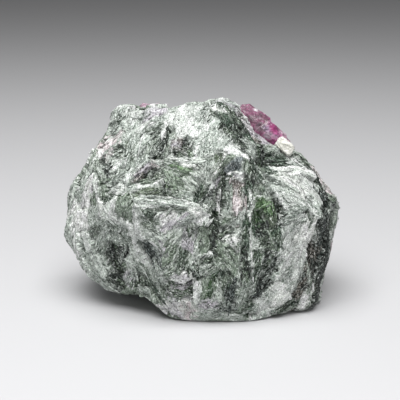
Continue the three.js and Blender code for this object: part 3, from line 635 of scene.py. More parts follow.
def cube_sphere(cells):
    """Unit directions on a cube's six faces, and the square cells between them. On a face,
    direction = unit(out + tan(s * 45 degrees) * right + tan(t * 45 degrees) * up) for s and
    t from -1 to 1, and points that two faces share are merged. The ball is then drawn out
    to the block's proportions, so that the cells are near even on the block."""
    step = np.tan(np.linspace(-1, 1, cells + 1) * math.pi / 4)
    s, t = (grid[..., None] for grid in np.meshgrid(step, step, indexing="ij"))
    faces = [np.array(out) + s * np.array(right) + t * np.array(up) for out, right, up in CUBE_FACES]
    points = unit(np.stack(faces).reshape(-1, 3))
    corner = np.arange((cells + 1) ** 2).reshape(cells + 1, cells + 1)
    square = np.stack([corner[:-1, :-1], corner[1:, :-1], corner[1:, 1:], corner[:-1, 1:]], axis=-1)
    squares = np.concatenate([square.reshape(-1, 4) + side * corner.size for side in range(6)])
    # Adding 0 turns -0 into 0, so that both merge.
    rounded = np.round(points, 6) + 0.0
    _, first, merged = np.unique(rounded, axis=0, return_index=True, return_inverse=True)
    merged = merged.ravel()
    directions = unit((points[first] * BLOCK_SHAPE) @ FACE_AXES)
    return directions, merged[squares], merged.reshape(6, cells + 1, cells + 1)


def cells_under(points, lookup):
    """The grid point nearest to each place, by its direction from the block's middle. The
    cube face is the one whose way out is greatest, and s = atan(right / out) / 45 degrees."""
    cube = ((points - MIDDLE) @ FACE_AXES.T) / BLOCK_SHAPE
    ways = np.einsum("fax,nx->nfa", np.array(CUBE_FACES, float), cube)
    side = np.argmax(ways[:, :, 0], axis=1)
    own = ways[np.arange(len(points)), side]
    step = (np.arctan2(own[:, 1:], own[:, :1]) / (math.pi / 4) + 1) / 2 * (lookup.shape[1] - 1)
    step = np.clip(np.rint(step).astype(int), 0, lookup.shape[1] - 1)
    return lookup[side, step[:, 0], step[:, 1]]


def cast_onto(directions, squares, target):
    """How far out from the block's middle the target is along each direction, or
    START_RADIUS where it isn't met."""
    ball = mesh_object("casting_ball", MIDDLE + START_RADIUS * directions, squares)
    wrap = ball.modifiers.new("wrap", "SHRINKWRAP")
    wrap.target = target
    wrap.wrap_method = "PROJECT"
    wrap.use_negative_direction = True
    wrap.use_positive_direction = False
    evaluated = ball.evaluated_get(bpy.context.evaluated_depsgraph_get())
    points = vertex_rows(evaluated.data, "co") / MM
    ball_mesh = ball.data
    bpy.data.objects.remove(ball)
    bpy.data.meshes.remove(ball_mesh)
    return np.linalg.norm(points - MIDDLE, axis=1)


@functools.cache
def bare_skin(cells, worn):
    """The block's skin without its fibres, closed over the sockets: its points, squares,
    edges, normals, normals evened out over a blade's length, and the grid's lookup."""
    directions, squares, lookup = cube_sphere(cells)
    edges = np.concatenate([squares[:, [k, (k + 1) % 4]] for k in range(4)])
    edges = np.unique(np.sort(edges, axis=1), axis=0)
    radius = cast_onto(directions, squares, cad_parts["matrix"])
    covered = np.zeros(len(radius))
    for name in SET_IN:
        covered += cast_onto(directions, squares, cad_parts[name]) < START_RADIUS - 1
    in_socket = neighbour_mean(np.minimum(covered, 1), edges, SOCKET_RIM_ROUNDS) > 0.001
    radius = neighbour_mean(radius, edges, SOCKET_ROUNDS, only=in_socket)
    radius = neighbour_mean(radius, edges, worn)
    points = MIDDLE + radius[:, None] * directions
    points[:, 2] = np.maximum(points[:, 2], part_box("matrix")[0][2] / MM)
    normals = point_normals(points, squares)
    even = unit(np.stack([neighbour_mean(part, edges, EVEN_ROUNDS) for part in normals.T], axis=1))
    return dict(points=points, squares=squares, edges=edges, normals=normals, even=even, lookup=lookup)


# ------------------------------------------------------------------ sheaves

SEED = 7
FAR_OFF = 1e6
OTHER_SHEAVES = 150
OTHER_HALF_LONG = (3.5, 7.5)
OTHER_HALF_WIDE = (1.2, 2.8)
OTHER_RISE = 0.35  # the usual departure of a random sheaf's level
CLEAR_OF_FRONT = 4.5  # a random sheaf's middle keeps this far from those on the front
WIDTH_POWER = 0.3
SLOPE_MOST = 0.19  # the steepest that a sheaf slopes along or across, as rise over run
SHAKE = 0.35  # how far the sheaves' bounds are shaken
SHAKES = ((2.6, SEED), (0.8, SEED + 5))  # the shaking's two grains, and their first seeds
NEARNESS_PARTS = 24  # the points are gone through in this many parts, to save memory


def seen_by_eye(points, normals):
    """Where the eye sees each point, across and up the broad face, in millimetres. Points
    that face away go far off."""
    from_middle = points - MIDDLE
    facing = ((EYE_DISTANCE * FACE_OUT - from_middle) * normals).sum(1) > 0
    nearness = EYE_DISTANCE / (EYE_DISTANCE - from_middle @ FACE_OUT)
    seen = np.stack([from_middle @ FACE_RIGHT * nearness, from_middle @ FACE_UP * nearness], axis=1)
    seen[~facing] = FAR_OFF
    return seen


@functools.cache
def sheaves(cells, worn):
    """The sheaves as arrays: middle, axis and normal, half sizes, level, slopes, mix and
    code, a whole number that its random numbers come from. Those on the front lie where
    the list says, as seen by the eye. The others start from an even spiral of directions,
    direction k of n at height 1 - (2k + 1)/n and turned by k times the golden angle, and
    are kept where no front sheaf's middle is within CLEAR_OF_FRONT. Both half sizes are
    divided by wide^WIDTH_POWER, so that narrow sheaves hold their own against wide
    neighbours."""
    skin = bare_skin(cells, worn)
    points, normals = skin["points"], skin["normals"]
    rng = np.random.default_rng(SEED)
    seen = seen_by_eye(points, normals)
    mixes = list(MIXES)
    rows = []
    for _, u, v, half_long, half_wide, lie, mix, rise in FRONT_SHEAVES:
        nearest = np.argmin(((seen - (u, v)) ** 2).sum(1))
        along = math.cos(math.radians(lie)) * FACE_RIGHT + math.sin(math.radians(lie)) * FACE_UP
        code = 1000 * round(10 * u) + round(10 * v)
        rows.append((nearest, along, half_long, half_wide, rise, mixes.index(mix), code))
    front = points[[row[0] for row in rows]]
    share = np.array(list(OTHER_MIXES.values()), float)
    outwards = unit(points - MIDDLE)
    for k in range(OTHER_SHEAVES):
        height = 1 - (2 * k + 1) / OTHER_SHEAVES
        turn = k * math.pi * (3 - math.sqrt(5))
        reach = math.sqrt(1 - height**2)
        direction = np.array([reach * math.cos(turn), reach * math.sin(turn), height])
        nearest = np.argmax(outwards @ direction)
        half_long, half_wide = rng.uniform(*OTHER_HALF_LONG), rng.uniform(*OTHER_HALF_WIDE)
        mix = rng.choice(list(OTHER_MIXES), p=share / share.sum())
        along, rise = rng.normal(size=3), rng.normal(0, OTHER_RISE)
        if np.linalg.norm(front - points[nearest], axis=1).min() > CLEAR_OF_FRONT:
            rows.append((nearest, along, half_long, half_wide, rise, mixes.index(mix), k))
    at, along, half_long, half_wide, rise, mix, code = (np.array(column) for column in zip(*rows))
    normal = normals[at]
    axis = square_to(along, normal)
    return dict(
        middle=points[at],
        normal=normal,
        axis=axis,
        side=np.cross(normal, axis),
        long=half_long / half_wide**WIDTH_POWER,
        wide=half_wide / half_wide**WIDTH_POWER,
        rise=rise,
        mix=mix,
        slope=2 * SLOPE_MOST * np.stack([hashed(code, 1), hashed(code, 2)], axis=1) - SLOPE_MOST,
        code=np.floor(9000 * hashed(code, 3)).astype(int),
    )


def stretched_distance(points, which, sheaf):
    """Each point's measure from its sheaf, sqrt((along / long)^2 + (across / wide)^2), and
    that measure's gradient."""
    from_sheaf = points - sheaf["middle"][which]
    long, wide = sheaf["long"][which][:, None], sheaf["wide"][which][:, None]
    lengthwise = (from_sheaf * sheaf["axis"][which]).sum(1, keepdims=True) * sheaf["axis"][which]
    measure = np.linalg.norm(lengthwise / long + (from_sheaf - lengthwise) / wide, axis=1)
    return measure, (lengthwise / long**2 + (from_sheaf - lengthwise) / wide**2) / measure[:, None]


def nearest_sheaf(points, sheaf):
    """Which sheaf each point is in, by the least measure, after the points are shaken a
    little so that bounds are ragged. Also the next nearest sheaf, and how deep inside its
    own the point is, in millimetres: the difference of the two least measures over the
    length of their gradients' difference."""
    shaken = points.copy()
    for grain, seed in SHAKES:
        shaken += SHAKE * np.stack([noise(points, grain, seed + axis) for axis in range(3)], axis=1)
    pairs = []
    for some in np.array_split(shaken, NEARNESS_PARTS):
        from_sheaf = some[:, None, :] - sheaf["middle"]
        along = (from_sheaf * sheaf["axis"]).sum(2)
        apart = (from_sheaf**2).sum(2)
        squared = (along / sheaf["long"]) ** 2 + (apart - along**2) / sheaf["wide"] ** 2
        pairs.append(np.argpartition(squared, 1, axis=1)[:, :2])
    first, second = np.concatenate(pairs).T
    near, near_slope = stretched_distance(shaken, first, sheaf)
    far, far_slope = stretched_distance(shaken, second, sheaf)
    return first, second, (far - near) / np.maximum(np.linalg.norm(far_slope - near_slope, axis=1), 0.05)


def sheaf_place(points, which, sheaf):
    """Each point's place along and across its sheaf, in millimetres."""
    from_sheaf = points - sheaf["middle"][which]
    along = (from_sheaf * sheaf["axis"][which]).sum(1)
    across = (from_sheaf * sheaf["side"][which]).sum(1)
    return along, across


BLADE_EDGE = 0.12  # how far a blade's edge reaches in, as a share of its size


def blades(along, across, code, blade_long, blade_wide):
    """The blade that each place is in: cells grown round one shaken point in each
    rectangle of a blade's size. Returns the blade's number, how far the place is across
    its middle in millimetres, and the nearness of its edge from 0, inside, to 1."""
    s, t = along / blade_long, across / blade_wide
    i, j = np.floor(s).astype(np.int64), np.floor(t).astype(np.int64)
    first = second = np.full(len(s), 1e9)
    number = over = np.zeros(len(s))
    for di, dj in itertools.product((-1, 0, 1), repeat=2):
        a, b = i + di, j + dj
        ds = s - a - hashed(a, b, code, 11)
        dt = t - b - hashed(a, b, code, 12)
        apart = np.sqrt(ds**2 + dt**2)
        nearer = apart < first
        second = np.where(nearer, first, np.minimum(second, apart))
        number = np.where(nearer, hashed(a, b, code, 13), number)
        over = np.where(nearer, dt * blade_wide, over)
        first = np.where(nearer, apart, first)
    return number, over, np.exp(-(second - first) / BLADE_EDGE)


# ------------------------------------------------------------------ colours of the blades

BLEND = 0.42  # how gradually blades turn from the dark mineral to the light one
OWN_COLOUR = 0.25  # how much of a plate's or loose blade's colour is its own, not the skin's
CLEANEST = 0.7  # how much less felted a place of flat plates is
DARKEST, DARK_SPAN = 0.88, 0.24  # a blade's own shade starts here, and spans this


def mix_arrays():
    """The mixes as arrays."""
    colours = bpy.context.scene.ruby_rock_colours
    dark, light, share, fibrous, leafy, relief = zip(*MIXES.values())
    return dict(
        dark=np.array([getattr(colours, name) for name in dark]),
        light=np.array([getattr(colours, name) for name in light]),
        share=np.array(share),
        fibrous=np.array(fibrous),
        leafy=np.array(leafy),
        relief=np.array(relief),
    )


def blade_colours(mix, kinds, numbers, sway):
    """Each blade's colour: its mix's light or dark mineral, or a blend of them near the
    bound between the two, a little lighter or darker at random. Sway moves the bound."""
    light = ramp(kinds["share"][mix] + sway - numbers, -BLEND, BLEND)[:, None]
    tint = kinds["dark"][mix] * (1 - light) + kinds["light"][mix] * light
    return tint * (DARKEST + DARK_SPAN * other_share(numbers, 91.7))[:, None]


def feltness(mix):
    """How felted with hair-thin fibres a place is, from 0.3, for clean leaves, to 1."""
    return 1 - CLEANEST * mix_arrays()["leafy"][mix]


# ------------------------------------------------------------------ the rock

RISE_SCALE = 1.1  # a sheaf's level in the list times this is its level in millimetres
SLOPE_LIFT = 0.9  # the most that a sheaf's slope lifts or lowers it
CROWN, CROWN_WIDE = 0.25, 0.8  # a sheaf's middle stands this far up, from this far in
# How much the blades differ in level and in tilt, and how deep the grooves between them
# are, as shares of their mix's relief.
BLADE_STEP, BLADE_TILT, GROOVE = 1.3, 1.1, 0.4
# A pale seam along the sheaves' bounds: its least width, how much wider it gets, between
# which values of its noise, how soft its edge is, its height, and how pale it is: this
# much, and this much more where there are plates.
SEAM_LEAST, SEAM_MORE, SEAM_SPAN, SEAM_SOFT, SEAM_HEIGHT = 0.1, 0.75, (-0.3, 0.7), 0.3, 0.05
SEAM_PALE, SEAM_PALER = 0.3, 0.45
SINK = 0.75  # all of the skin is sunk by this, so that its swells end at the block's skin
ROUGH_LEAST, ROUGH_MORE = 0.3, 4.5  # the roughness, and how much the relief adds to it
SPLINTER_STRETCH = 2.2  # how much longer than wide the fine splinters are
LAYER_STEP = 0.7  # sets the patterns of neighbouring sheaves apart
REST_MARGIN = 2.2  # the fibres fade out over this height above the resting flat
REST_START = 0.2  # and are gone below this one
UNDERSIDE = -0.5  # the skin counts as the underside where its normal points down this much
MINGLED = 0.6  # the share of blades at a bound that have the neighbour's minerals
MINGLING = 0.4  # how far in these reach, as a share of a sheaf's half width
CAVITY_ROUNDS = 14  # rounds of smoothing that give the level which hollows lie below
# Painted shade in hollows and painted light on ridges, by how far each place stands below or above its
# surroundings.
CAVITY_PAINTED_SHADE = 0.2  # how much darker hollows are and paler ridges, per millimetre
CAVITY_SPAN = (-0.8, 0.3)  # the most that they are
WHITEST = 0.63  # no part of the skin is painted paler than this
# The skin's noises: strength, grain in millimetres, and seed.
GRIT = (1.0, 0.9, 21)
SPLINTERS = (1.0, 0.5, 22)
SWELL = (0.3, 2.4, 23)
SEAM_WIDTH = (1.0, 3.4, 24)
SEAM_WAVE = (0.3, 0.6, 32)
WIDE_SWAY = (0.25, 3.6, 25)
FINE_SWAY = (0.3, 1.1, 26)
SPLINTER_SHADE = (0.14, 0.6, 27)
FINE_SHADE = (0.2, 0.6, 28)
RAGGED_MINGLING = (0.1, 0.9, 29)
ROCK_CREASE = math.radians(28)  # sharper folds of the skin are shaded as edges


@functools.cache
def rock_surface(cells, worn, blade_long, blade_wide, grit):
    """The rock's finished surface and how it is painted. height = the sheaf's level and
    slope + its crown + each blade's own level and tilt - a groove between blades + a seam
    along the sheaf's bound + grit that is rougher where the relief is high + a slow swell,
    along the skin's normal. Colours are the blades' own, with a neighbouring sheaf's
    minerals mingled in near the bound, then painted shade in hollows and painted light on
    ridges."""
    skin, sheaf, kinds = bare_skin(cells, worn), sheaves(cells, worn), mix_arrays()
    points, normals = skin["points"], skin["normals"]
    which, beside, inside = nearest_sheaf(points, sheaf)
    mix = sheaf["mix"][which]
    relief = kinds["relief"][mix]
    along, across = sheaf_place(points, which, sheaf)
    slope = sheaf["slope"][which]
    sloped = np.clip(slope[:, 0] * along + slope[:, 1] * across, -SLOPE_LIFT, SLOPE_LIFT)
    height = RISE_SCALE * sheaf["rise"][which] + sloped
    height += CROWN * ramp(inside, 0, CROWN_WIDE)
    number, over, edge = blades(along, across, sheaf["code"][which], blade_long, blade_wide)
    tilt = BLADE_TILT * (other_share(number, 37.3) - 0.5) * over / (0.5 * blade_wide)
    height += relief * (BLADE_STEP * (number - 0.5) + tilt)
    height -= GROOVE * relief * edge
    seam_width = SEAM_LEAST + SEAM_MORE * ramp(noise_of(SEAM_WIDTH, points), *SEAM_SPAN)
    seam = ramp(inside + noise_of(SEAM_WAVE, points), seam_width, seam_width - SEAM_SOFT)
    height += SEAM_HEIGHT * seam
    layer = sheaf["code"][which] * LAYER_STEP
    splinters = np.stack([along / SPLINTER_STRETCH, across, layer], axis=1)
    rough = ROUGH_LEAST + ROUGH_MORE * relief
    height += grit * rough * (noise_of(GRIT, points) + noise_of(SPLINTERS, splinters))
    height += noise_of(SWELL, points) - SINK
    above_rest = points[:, 2] - points[:, 2].min()
    height *= np.where(normals[:, 2] < UNDERSIDE, ramp(above_rest, REST_START, REST_MARGIN), 1)
    lifted = points + height[:, None] * normals
    lifted[:, 2] = np.maximum(lifted[:, 2], points[:, 2].min())
    sway = noise_of(WIDE_SWAY, points) + noise_of(FINE_SWAY, points)
    reach = MINGLED * np.exp(-inside / (MINGLING * sheaf["wide"][which]))
    mingled = other_share(number, 53.9) < reach + noise_of(RAGGED_MINGLING, points)
    painted = np.where(mingled, sheaf["mix"][beside], mix)
    tint = blade_colours(painted, kinds, number, sway)
    shade = noise_of(SPLINTER_SHADE, splinters) + noise_of(FINE_SHADE, points)
    tint *= np.exp(rough * shade)[:, None]
    pale = ((SEAM_PALE + SEAM_PALER * kinds["leafy"][mix]) * seam)[:, None]
    tint = tint * (1 - pale) + np.array(bpy.context.scene.ruby_rock_colours.pale) * pale
    # Painted shade and light: places below their surroundings are painted darker, those above paler.
    standing = height - neighbour_mean(height, skin["edges"], CAVITY_ROUNDS)
    tint *= np.exp(np.clip(CAVITY_PAINTED_SHADE * standing, *CAVITY_SPAN))[:, None]
    return lifted, np.minimum(tint, WHITEST), which, painted


def finished_skin(sizes):
    """The bare skin, its sheaves and its finished surface, for those sizes."""
    skin, sheaf = bare_skin(sizes.grid, sizes.worn), sheaves(sizes.grid, sizes.worn)
    surface = rock_surface(sizes.grid, sizes.worn, sizes.blade_long, sizes.blade_wide, sizes.grit)
    return skin, sheaf, surface


def make_rock(sizes):
    """The rock's skin, with its colours and the lie of its fibres."""
    skin, sheaf, (lifted, tint, which, painted) = finished_skin(sizes)
    squares = skin["squares"]
    rock = mesh_object("rock", lifted, squares)
    corners = skin["points"][squares].reshape(-1, 3)
    corner_sheaf = np.repeat(which[squares[:, 0]], 4)
    along, across = sheaf_place(corners, corner_sheaf, sheaf)
    grain = np.stack([along, across, sheaf["code"][corner_sheaf] * LAYER_STEP], axis=1)
    paint(rock, tint, feltness(painted), grain, "CORNER")
    rock.data.shade_smooth()
    rock.data.set_sharp_from_angle(angle=ROCK_CREASE)
    return rock


# ------------------------------------------------------------------ plates, blades and fibres

# A blade is a tip, two four-cornered rings and a tip: [along, across, up] as shares of its
# length, width and thickness.
BLADE_CORNERS = np.array(
    [
        [-0.50, 0.08, -0.15],
        [-0.27, -0.36, 0.34], [-0.24, 0.36, 0.34], [-0.27, 0.5, -0.5], [-0.30, -0.5, -0.5],
        [0.24, -0.36, 0.34], [0.28, 0.36, 0.34], [0.30, 0.5, -0.5], [0.27, -0.5, -0.5],
        [0.50, -0.08, -0.15],
    ]
)
# A fibre is a tip, one ring of four corners and a tip.
FIBRE_CORNERS = np.array(
    [[-0.5, 0, -0.2], [-0.05, -0.5, 0], [0.0, 0, 0.5], [0.05, 0.5, 0], [0.0, 0, -0.5], [0.5, 0, -0.2]]
)
# A plate is a pointed six-cornered slab: [along, across] of its corners, as shares of its
# length and width, and its three rings from the top down: [share of the outline, up].
PLATE_OUTLINE = np.array(
    [[-0.50, 0.06], [-0.26, 0.42], [0.20, 0.50], [0.50, -0.04], [0.28, -0.46], [-0.22, -0.50]]
)
PLATE_RINGS = np.array([[0.80, 0.5], [1.0, 0.1], [0.9, -0.5]])
# The loose-ended pieces: corners, rings, how many to each loose blade, length and width as
# shares of a loose blade's, thickness as a share of the width, the most white that one
# takes, and seed.
LOOSE_PIECES = {
    "mica_blades": (BLADE_CORNERS, 2, 1, 1.0, 1.0, 0.4, 0.5, 101),
    "mica_fibres": (FIBRE_CORNERS, 1, 4, 0.8, 0.42, 0.7, 1.0, 102),
}
SPLAY = 8  # degrees by which a plate or a blade usually turns off its sheaf's lie
LAYERS = 900.0  # the patterns of plates and blades are taken from anywhere in this depth
# Loose-ended pieces: usual pitch and roll in degrees, spread of the sizes and of the
# shade, how unlike their corners are, usual lift in millimetres, the share of their
# thickness that is sunk, how welcome they are where nothing is fibrous, the heights that
# they fade in over, and how white frosts them: this much, and this more by the skin's green.
LOOSE_PITCH, LOOSE_ROLL = 3.5, 15
LOOSE_SPREAD, LOOSE_SHADES, LOOSE_SHAKE = 0.35, 0.22, 0.3
LOOSE_LIFT, LOOSE_SINK = 0.05, 0.1
LOOSE_LEAST, LOOSE_FADE = 0.15, (1.2, 2.5)
FROST_LEAST, FROST_MORE = 0.25, 2.5
# Plates: usual pitch and roll in degrees, spread of the length, how unlike their corners
# are, widths as shares of the length, the most length and width as shares of the sheaf's,
# how far out they rest on the skin as a share of each, thickness in millimetres and as a
# share of the width, usual lift, the heights that they fade in over, and how pale rims are.
PLATE_PITCH, PLATE_ROLL = 3, 6
PLATE_SPREAD, PLATE_SHAKE = 0.4, 0.35
PLATE_WIDTHS, PLATE_LONGEST, PLATE_WIDEST = (0.18, 0.42), 1.2, 0.85
PLATE_RESTS = 0.4
PLATE_THICK, PLATE_THICKER = 0.26, 0.06
PLATE_LIFT, PLATE_FADE = 0.08, (1.5, 3.5)
# The rims are painted paler, toward pale mica: partly a painted highlight along the edge.
RIM_PALE_AND_HIGHLIGHT = 0.4


def pick_squares(rng, skin, liking, fade, count):
    """Squares of the skin picked at random, by area and by how much each is liked, and
    fewer near the resting flat: none below the first height of the fade."""
    points, squares = skin["points"], skin["squares"]
    area = np.linalg.norm(square_crosses(points, squares), axis=1) / 2
    height = points[squares[:, 0], 2] - points[:, 2].min()
    weight = area * liking * ramp(height, *fade)
    return rng.choice(len(squares), count, p=weight / weight.sum())


def degrees(rng, usual, count):
    """A small random angle for each piece, in radians, of that usual size in degrees."""
    return np.radians(rng.normal(0, usual, (count, 1)))


def splayed(rng, along, normal):
    """The lie square to the normal, turned a little at random, and the side square to it."""
    along = square_to(along, normal)
    return turned(along, np.cross(normal, along), degrees(rng, SPLAY, len(along)))


def many_copies(name, shape, faces, base, spans, floor):
    """One mesh of many copies of a shape: place = base + x * along + y * side + z * up, by
    each copy's own three spans, and never below the floor."""
    placed = base[:, None]
    for axis, span in enumerate(spans):
        placed = placed + shape[..., axis, None] * span[:, None]
    placed[..., 2] = np.maximum(placed[..., 2], floor)
    count, each = placed.shape[:2]
    faces = faces + each * np.arange(count)[:, None, None]
    return mesh_object(name, placed.reshape(-1, 3), faces.reshape(-1, 3))


def copies_grain(rng, shape, long, wide):
    """The grain of each copy: the place along and across it, and a layer at random."""
    layer = np.broadcast_to(rng.random((len(shape), 1)) * LAYERS, shape.shape[:2])
    return np.stack([shape[..., 0] * long, shape[..., 1] * wide, layer], axis=-1)


def make_loose(name, sizes):
    """Loose-ended blades or fibres: each lies along its sheaf at a random place on the
    rock, turned and lifted a little. Each takes the colour of the skin under it and of its
    own mineral, and some white."""
    corners, rings, number, long, wide, flatness, frosting, seed = LOOSE_PIECES[name]
    skin, sheaf, (lifted, tint, which, painted) = finished_skin(sizes)
    squares = skin["squares"]
    kinds = mix_arrays()
    rng = np.random.default_rng(seed)
    count = number * sizes.laths
    liking = LOOSE_LEAST + kinds["fibrous"][painted[squares[:, 0]]]
    face = pick_squares(rng, skin, liking, LOOSE_FADE, count)
    blend = rng.dirichlet((1, 1, 1, 1), count)
    base = (lifted[squares[face]] * blend[..., None]).sum(1)
    normal = unit(skin["normals"][squares[face]].mean(1))
    at = squares[face, 0]
    along, side = splayed(rng, sheaf["axis"][which[at]], normal)
    along, up = turned(along, normal, degrees(rng, LOOSE_PITCH, count))
    side, up = turned(side, up, degrees(rng, LOOSE_ROLL, count))
    long = long * sizes.lath_long * np.exp(rng.normal(0, LOOSE_SPREAD, (count, 1)))
    wide = wide * sizes.lath_wide * np.exp(rng.normal(0, LOOSE_SPREAD, (count, 1)))
    thick = flatness * wide
    base = base + (rng.normal(0, LOOSE_LIFT, (count, 1)) - LOOSE_SINK * thick) * normal
    shape = corners * (1 + LOOSE_SHAKE * (rng.random((count, *corners.shape)) - 0.5))
    spans = (long * along, wide * side, thick * up)
    faces = tube_faces(4, rings, True)
    loose = many_copies(name, shape, faces, base, spans, skin["points"][:, 2].min())
    own = blade_colours(painted[at], kinds, rng.random(count), np.zeros(count))
    under = tint[at]
    colours = (1 - OWN_COLOUR) * under + OWN_COLOUR * own
    colours = colours * np.exp(rng.normal(0, LOOSE_SHADES, (count, 1)))
    frost = frosting * rng.random(count) ** 2 * np.clip(FROST_LEAST + FROST_MORE * under[:, 1], 0, 1)
    frost = frost[:, None]
    colours = colours * (1 - frost) + np.array(bpy.context.scene.ruby_rock_colours.white) * frost
    grain = copies_grain(rng, shape, long, wide)
    each = len(corners)
    paint(loose, np.repeat(colours, each, axis=0), np.repeat(feltness(painted[at]), each), grain)
    return loose


def make_plates(name, seed, sizes):
    """Flat cleavage plates, sunk into the skin to their rims. Each follows its sheaf and
    rests on the skin under its two points and its two sides, and its rim is paler: pale
    mica, and partly a painted highlight along the edge."""
    skin, sheaf, (lifted, tint, which, painted) = finished_skin(sizes)
    squares = skin["squares"]
    kinds = mix_arrays()
    rng = np.random.default_rng(seed)
    count = sizes.plates
    liking = kinds["leafy"][sheaf["mix"][which[squares[:, 0]]]]
    at = squares[pick_squares(rng, skin, liking, PLATE_FADE, count), 0]
    normal = skin["even"][at]
    along, side = splayed(rng, sheaf["axis"][which[at]], normal)
    long = sizes.plate_long * np.exp(rng.normal(0, PLATE_SPREAD, (count, 1)))
    long = np.minimum(long, PLATE_LONGEST * sheaf["long"][which[at]][:, None])
    wide = long * rng.uniform(*PLATE_WIDTHS, (count, 1))
    wide = np.minimum(wide, PLATE_WIDEST * sheaf["wide"][which[at]][:, None])
    end, flank = PLATE_RESTS * long * along, PLATE_RESTS * wide * side
    rests = []
    for step in (end, -end, flank, -flank):
        place = lifted[at] + step
        under = lifted[cells_under(place, skin["lookup"])]
        reach = np.linalg.norm(under - MIDDLE, axis=1, keepdims=True)
        rests.append(MIDDLE + unit(place - MIDDLE) * reach)
    along = unit(rests[0] - rests[1])
    side = square_to(rests[2] - rests[3], along)
    up = np.cross(along, side)
    along, up = turned(along, up, degrees(rng, PLATE_PITCH, count))
    side, up = turned(side, up, degrees(rng, PLATE_ROLL, count))
    thick = PLATE_THICK + PLATE_THICKER * wide
    middle = sum(rests) / 4 + rng.normal(0.0, PLATE_LIFT, (count, 1)) * normal
    outline = PLATE_OUTLINE * (1 + PLATE_SHAKE * (rng.random((count, 6, 2)) - 0.5))
    rings = np.concatenate([outline * share for share in PLATE_RINGS[:, 0]], axis=1)
    rise = np.broadcast_to(np.repeat(PLATE_RINGS[:, 1], 6)[:, None], (count, 18, 1))
    shape = np.concatenate([rings, rise], axis=2)
    # The rings run from the top down, so the faces are turned over.
    faces = tube_faces(6, 3, False)[:, ::-1]
    spans = (long * along, wide * side, thick * up)
    plates = many_copies(name, shape, faces, middle, spans, skin["points"][:, 2].min())
    own = blade_colours(painted[at], kinds, rng.random(count), np.zeros(count))
    colours = (1 - OWN_COLOUR) * tint[at] + OWN_COLOUR * own
    # A paler rim, partly a painted highlight along the plate's edge.
    rim = (1 - RIM_PALE_AND_HIGHLIGHT) * colours + RIM_PALE_AND_HIGHLIGHT * np.array(bpy.context.scene.ruby_rock_colours.pale)
    tints = np.stack([colours] * 6 + [rim] * 12, axis=1).reshape(-1, 3)
    paint(plates, tints, np.repeat(feltness(painted[at]), 18), copies_grain(rng, shape, long, wide))
    return plates


# ------------------------------------------------------------------ veins

# The thin veins on the front: the places that each runs through, as seen by the eye, its
# size in millimetres and its mineral.
VEINS = [
    ("upright", [(14.0, 4.0), (13.8, -2.0), (14.1, -9.0), (14.4, -15.0), (14.9, -21.0)], 0.5, "white"),
    ("slab edge", [(11.4, -9.8), (10.5, -12.5), (10.6, -16.5), (11.2, -19.0)], 0.4, "pale"),
    ("fork left", [(-29.0, 9.6), (-28.2, 4.0), (-25.4, -0.6)], 0.6, "white"),
    ("fork right", [(-22.8, 5.6), (-24.2, 2.2), (-25.3, -1.2)], 0.55, "white"),
    ("fork low", [(-25.3, -1.2), (-22.6, -2.5), (-20.8, -2.6)], 0.5, "white"),
    ("fan stem", [(-19.6, 6.0), (-18.0, 2.6), (-15.4, -1.0), (-13.2, -3.2)], 0.35, "pale"),
    ("rib", [(-18.0, 1.0), (-17.8, -4.0), (-18.0, -9.0), (-17.2, -12.0)], 0.55, "white"),
    ("strand", [(-18.4, -12.4), (-15.6, -15.6), (-13.0, -20.0)], 0.45, "pale"),
    ("wedge top", [(-18.6, 5.2), (-12.0, 4.7), (-6.0, 3.8), (-1.0, 2.4)], 0.4, "white"),
    ("wedge", [(-18.0, 4.0), (-12.0, 3.2), (-6.0, 2.2), (-2.0, 1.4)], 0.35, "pale"),
    ("corner", [(28.6, -9.8), (29.4, -14.0), (30.2, -19.0), (31.0, -24.4)], 0.5, "pale"),
    ("shoulder seam", [(13.4, 16.4), (16.8, 11.0), (20.4, 5.6)], 0.4, "pale"),
    ("shoulder foot", [(21.8, 5.0), (24.0, 2.8), (27.0, 0.8)], 0.35, "pale"),
    ("gully", [(5.6, 8.4), (5.5, 4.0), (5.4, -0.6)], 0.4, "white"),
    ("pocket", [(13.9, 0.0), (14.2, 3.0), (15.6, 4.6), (17.4, 4.4)], 0.5, "white"),
    ("strip", [(8.4, 8.0), (8.5, 3.0), (8.6, -1.0)], 0.3, "pale"),
    ("slope arc", [(-30.0, 15.4), (-29.0, 13.4), (-27.4, 10.6)], 0.45, "pale"),
    ("patch arc", [(1.0, 16.0), (4.0, 16.9), (7.0, 16.5)], 0.4, "pale"),
    ("limb", [(-34.6, 5.6), (-32.0, 9.8), (-29.6, 14.4)], 0.45, "pale"),
    ("foot", [(-0.8, -20.4), (-0.9, -25.2)], 0.4, "white"),
    ("long streak", [(-17.4, 14.6), (-16.2, 20.0), (-15.2, 23.6)], 0.4, "white"),
]
# A vein's section: [across, up] as shares of its size.
VEIN_SECTION = np.array([[-0.7, -0.5], [0.7, -0.5], [0.52, 0.3], [0.0, 0.56], [-0.52, 0.3]])
VEIN_STEPS = 36
VEIN_NEAR = 4  # how many points of the skin carry each step
VEIN_SWELL = (0.8, 1.6, 0)  # how its width varies: strength, grain and seed
VEIN_SHADE = (0.5, 1.2, 1)  # how its shade varies
VEIN_END = 0.02  # a vein's ends keep the square root of this of its width
VEIN_FELT = 0.8
NEAR_ENOUGH = 0.02  # keeps a point's weight from running away where the path meets it
VEIN_LAYER_STEP = 17.0  # sets the patterns of the veins apart


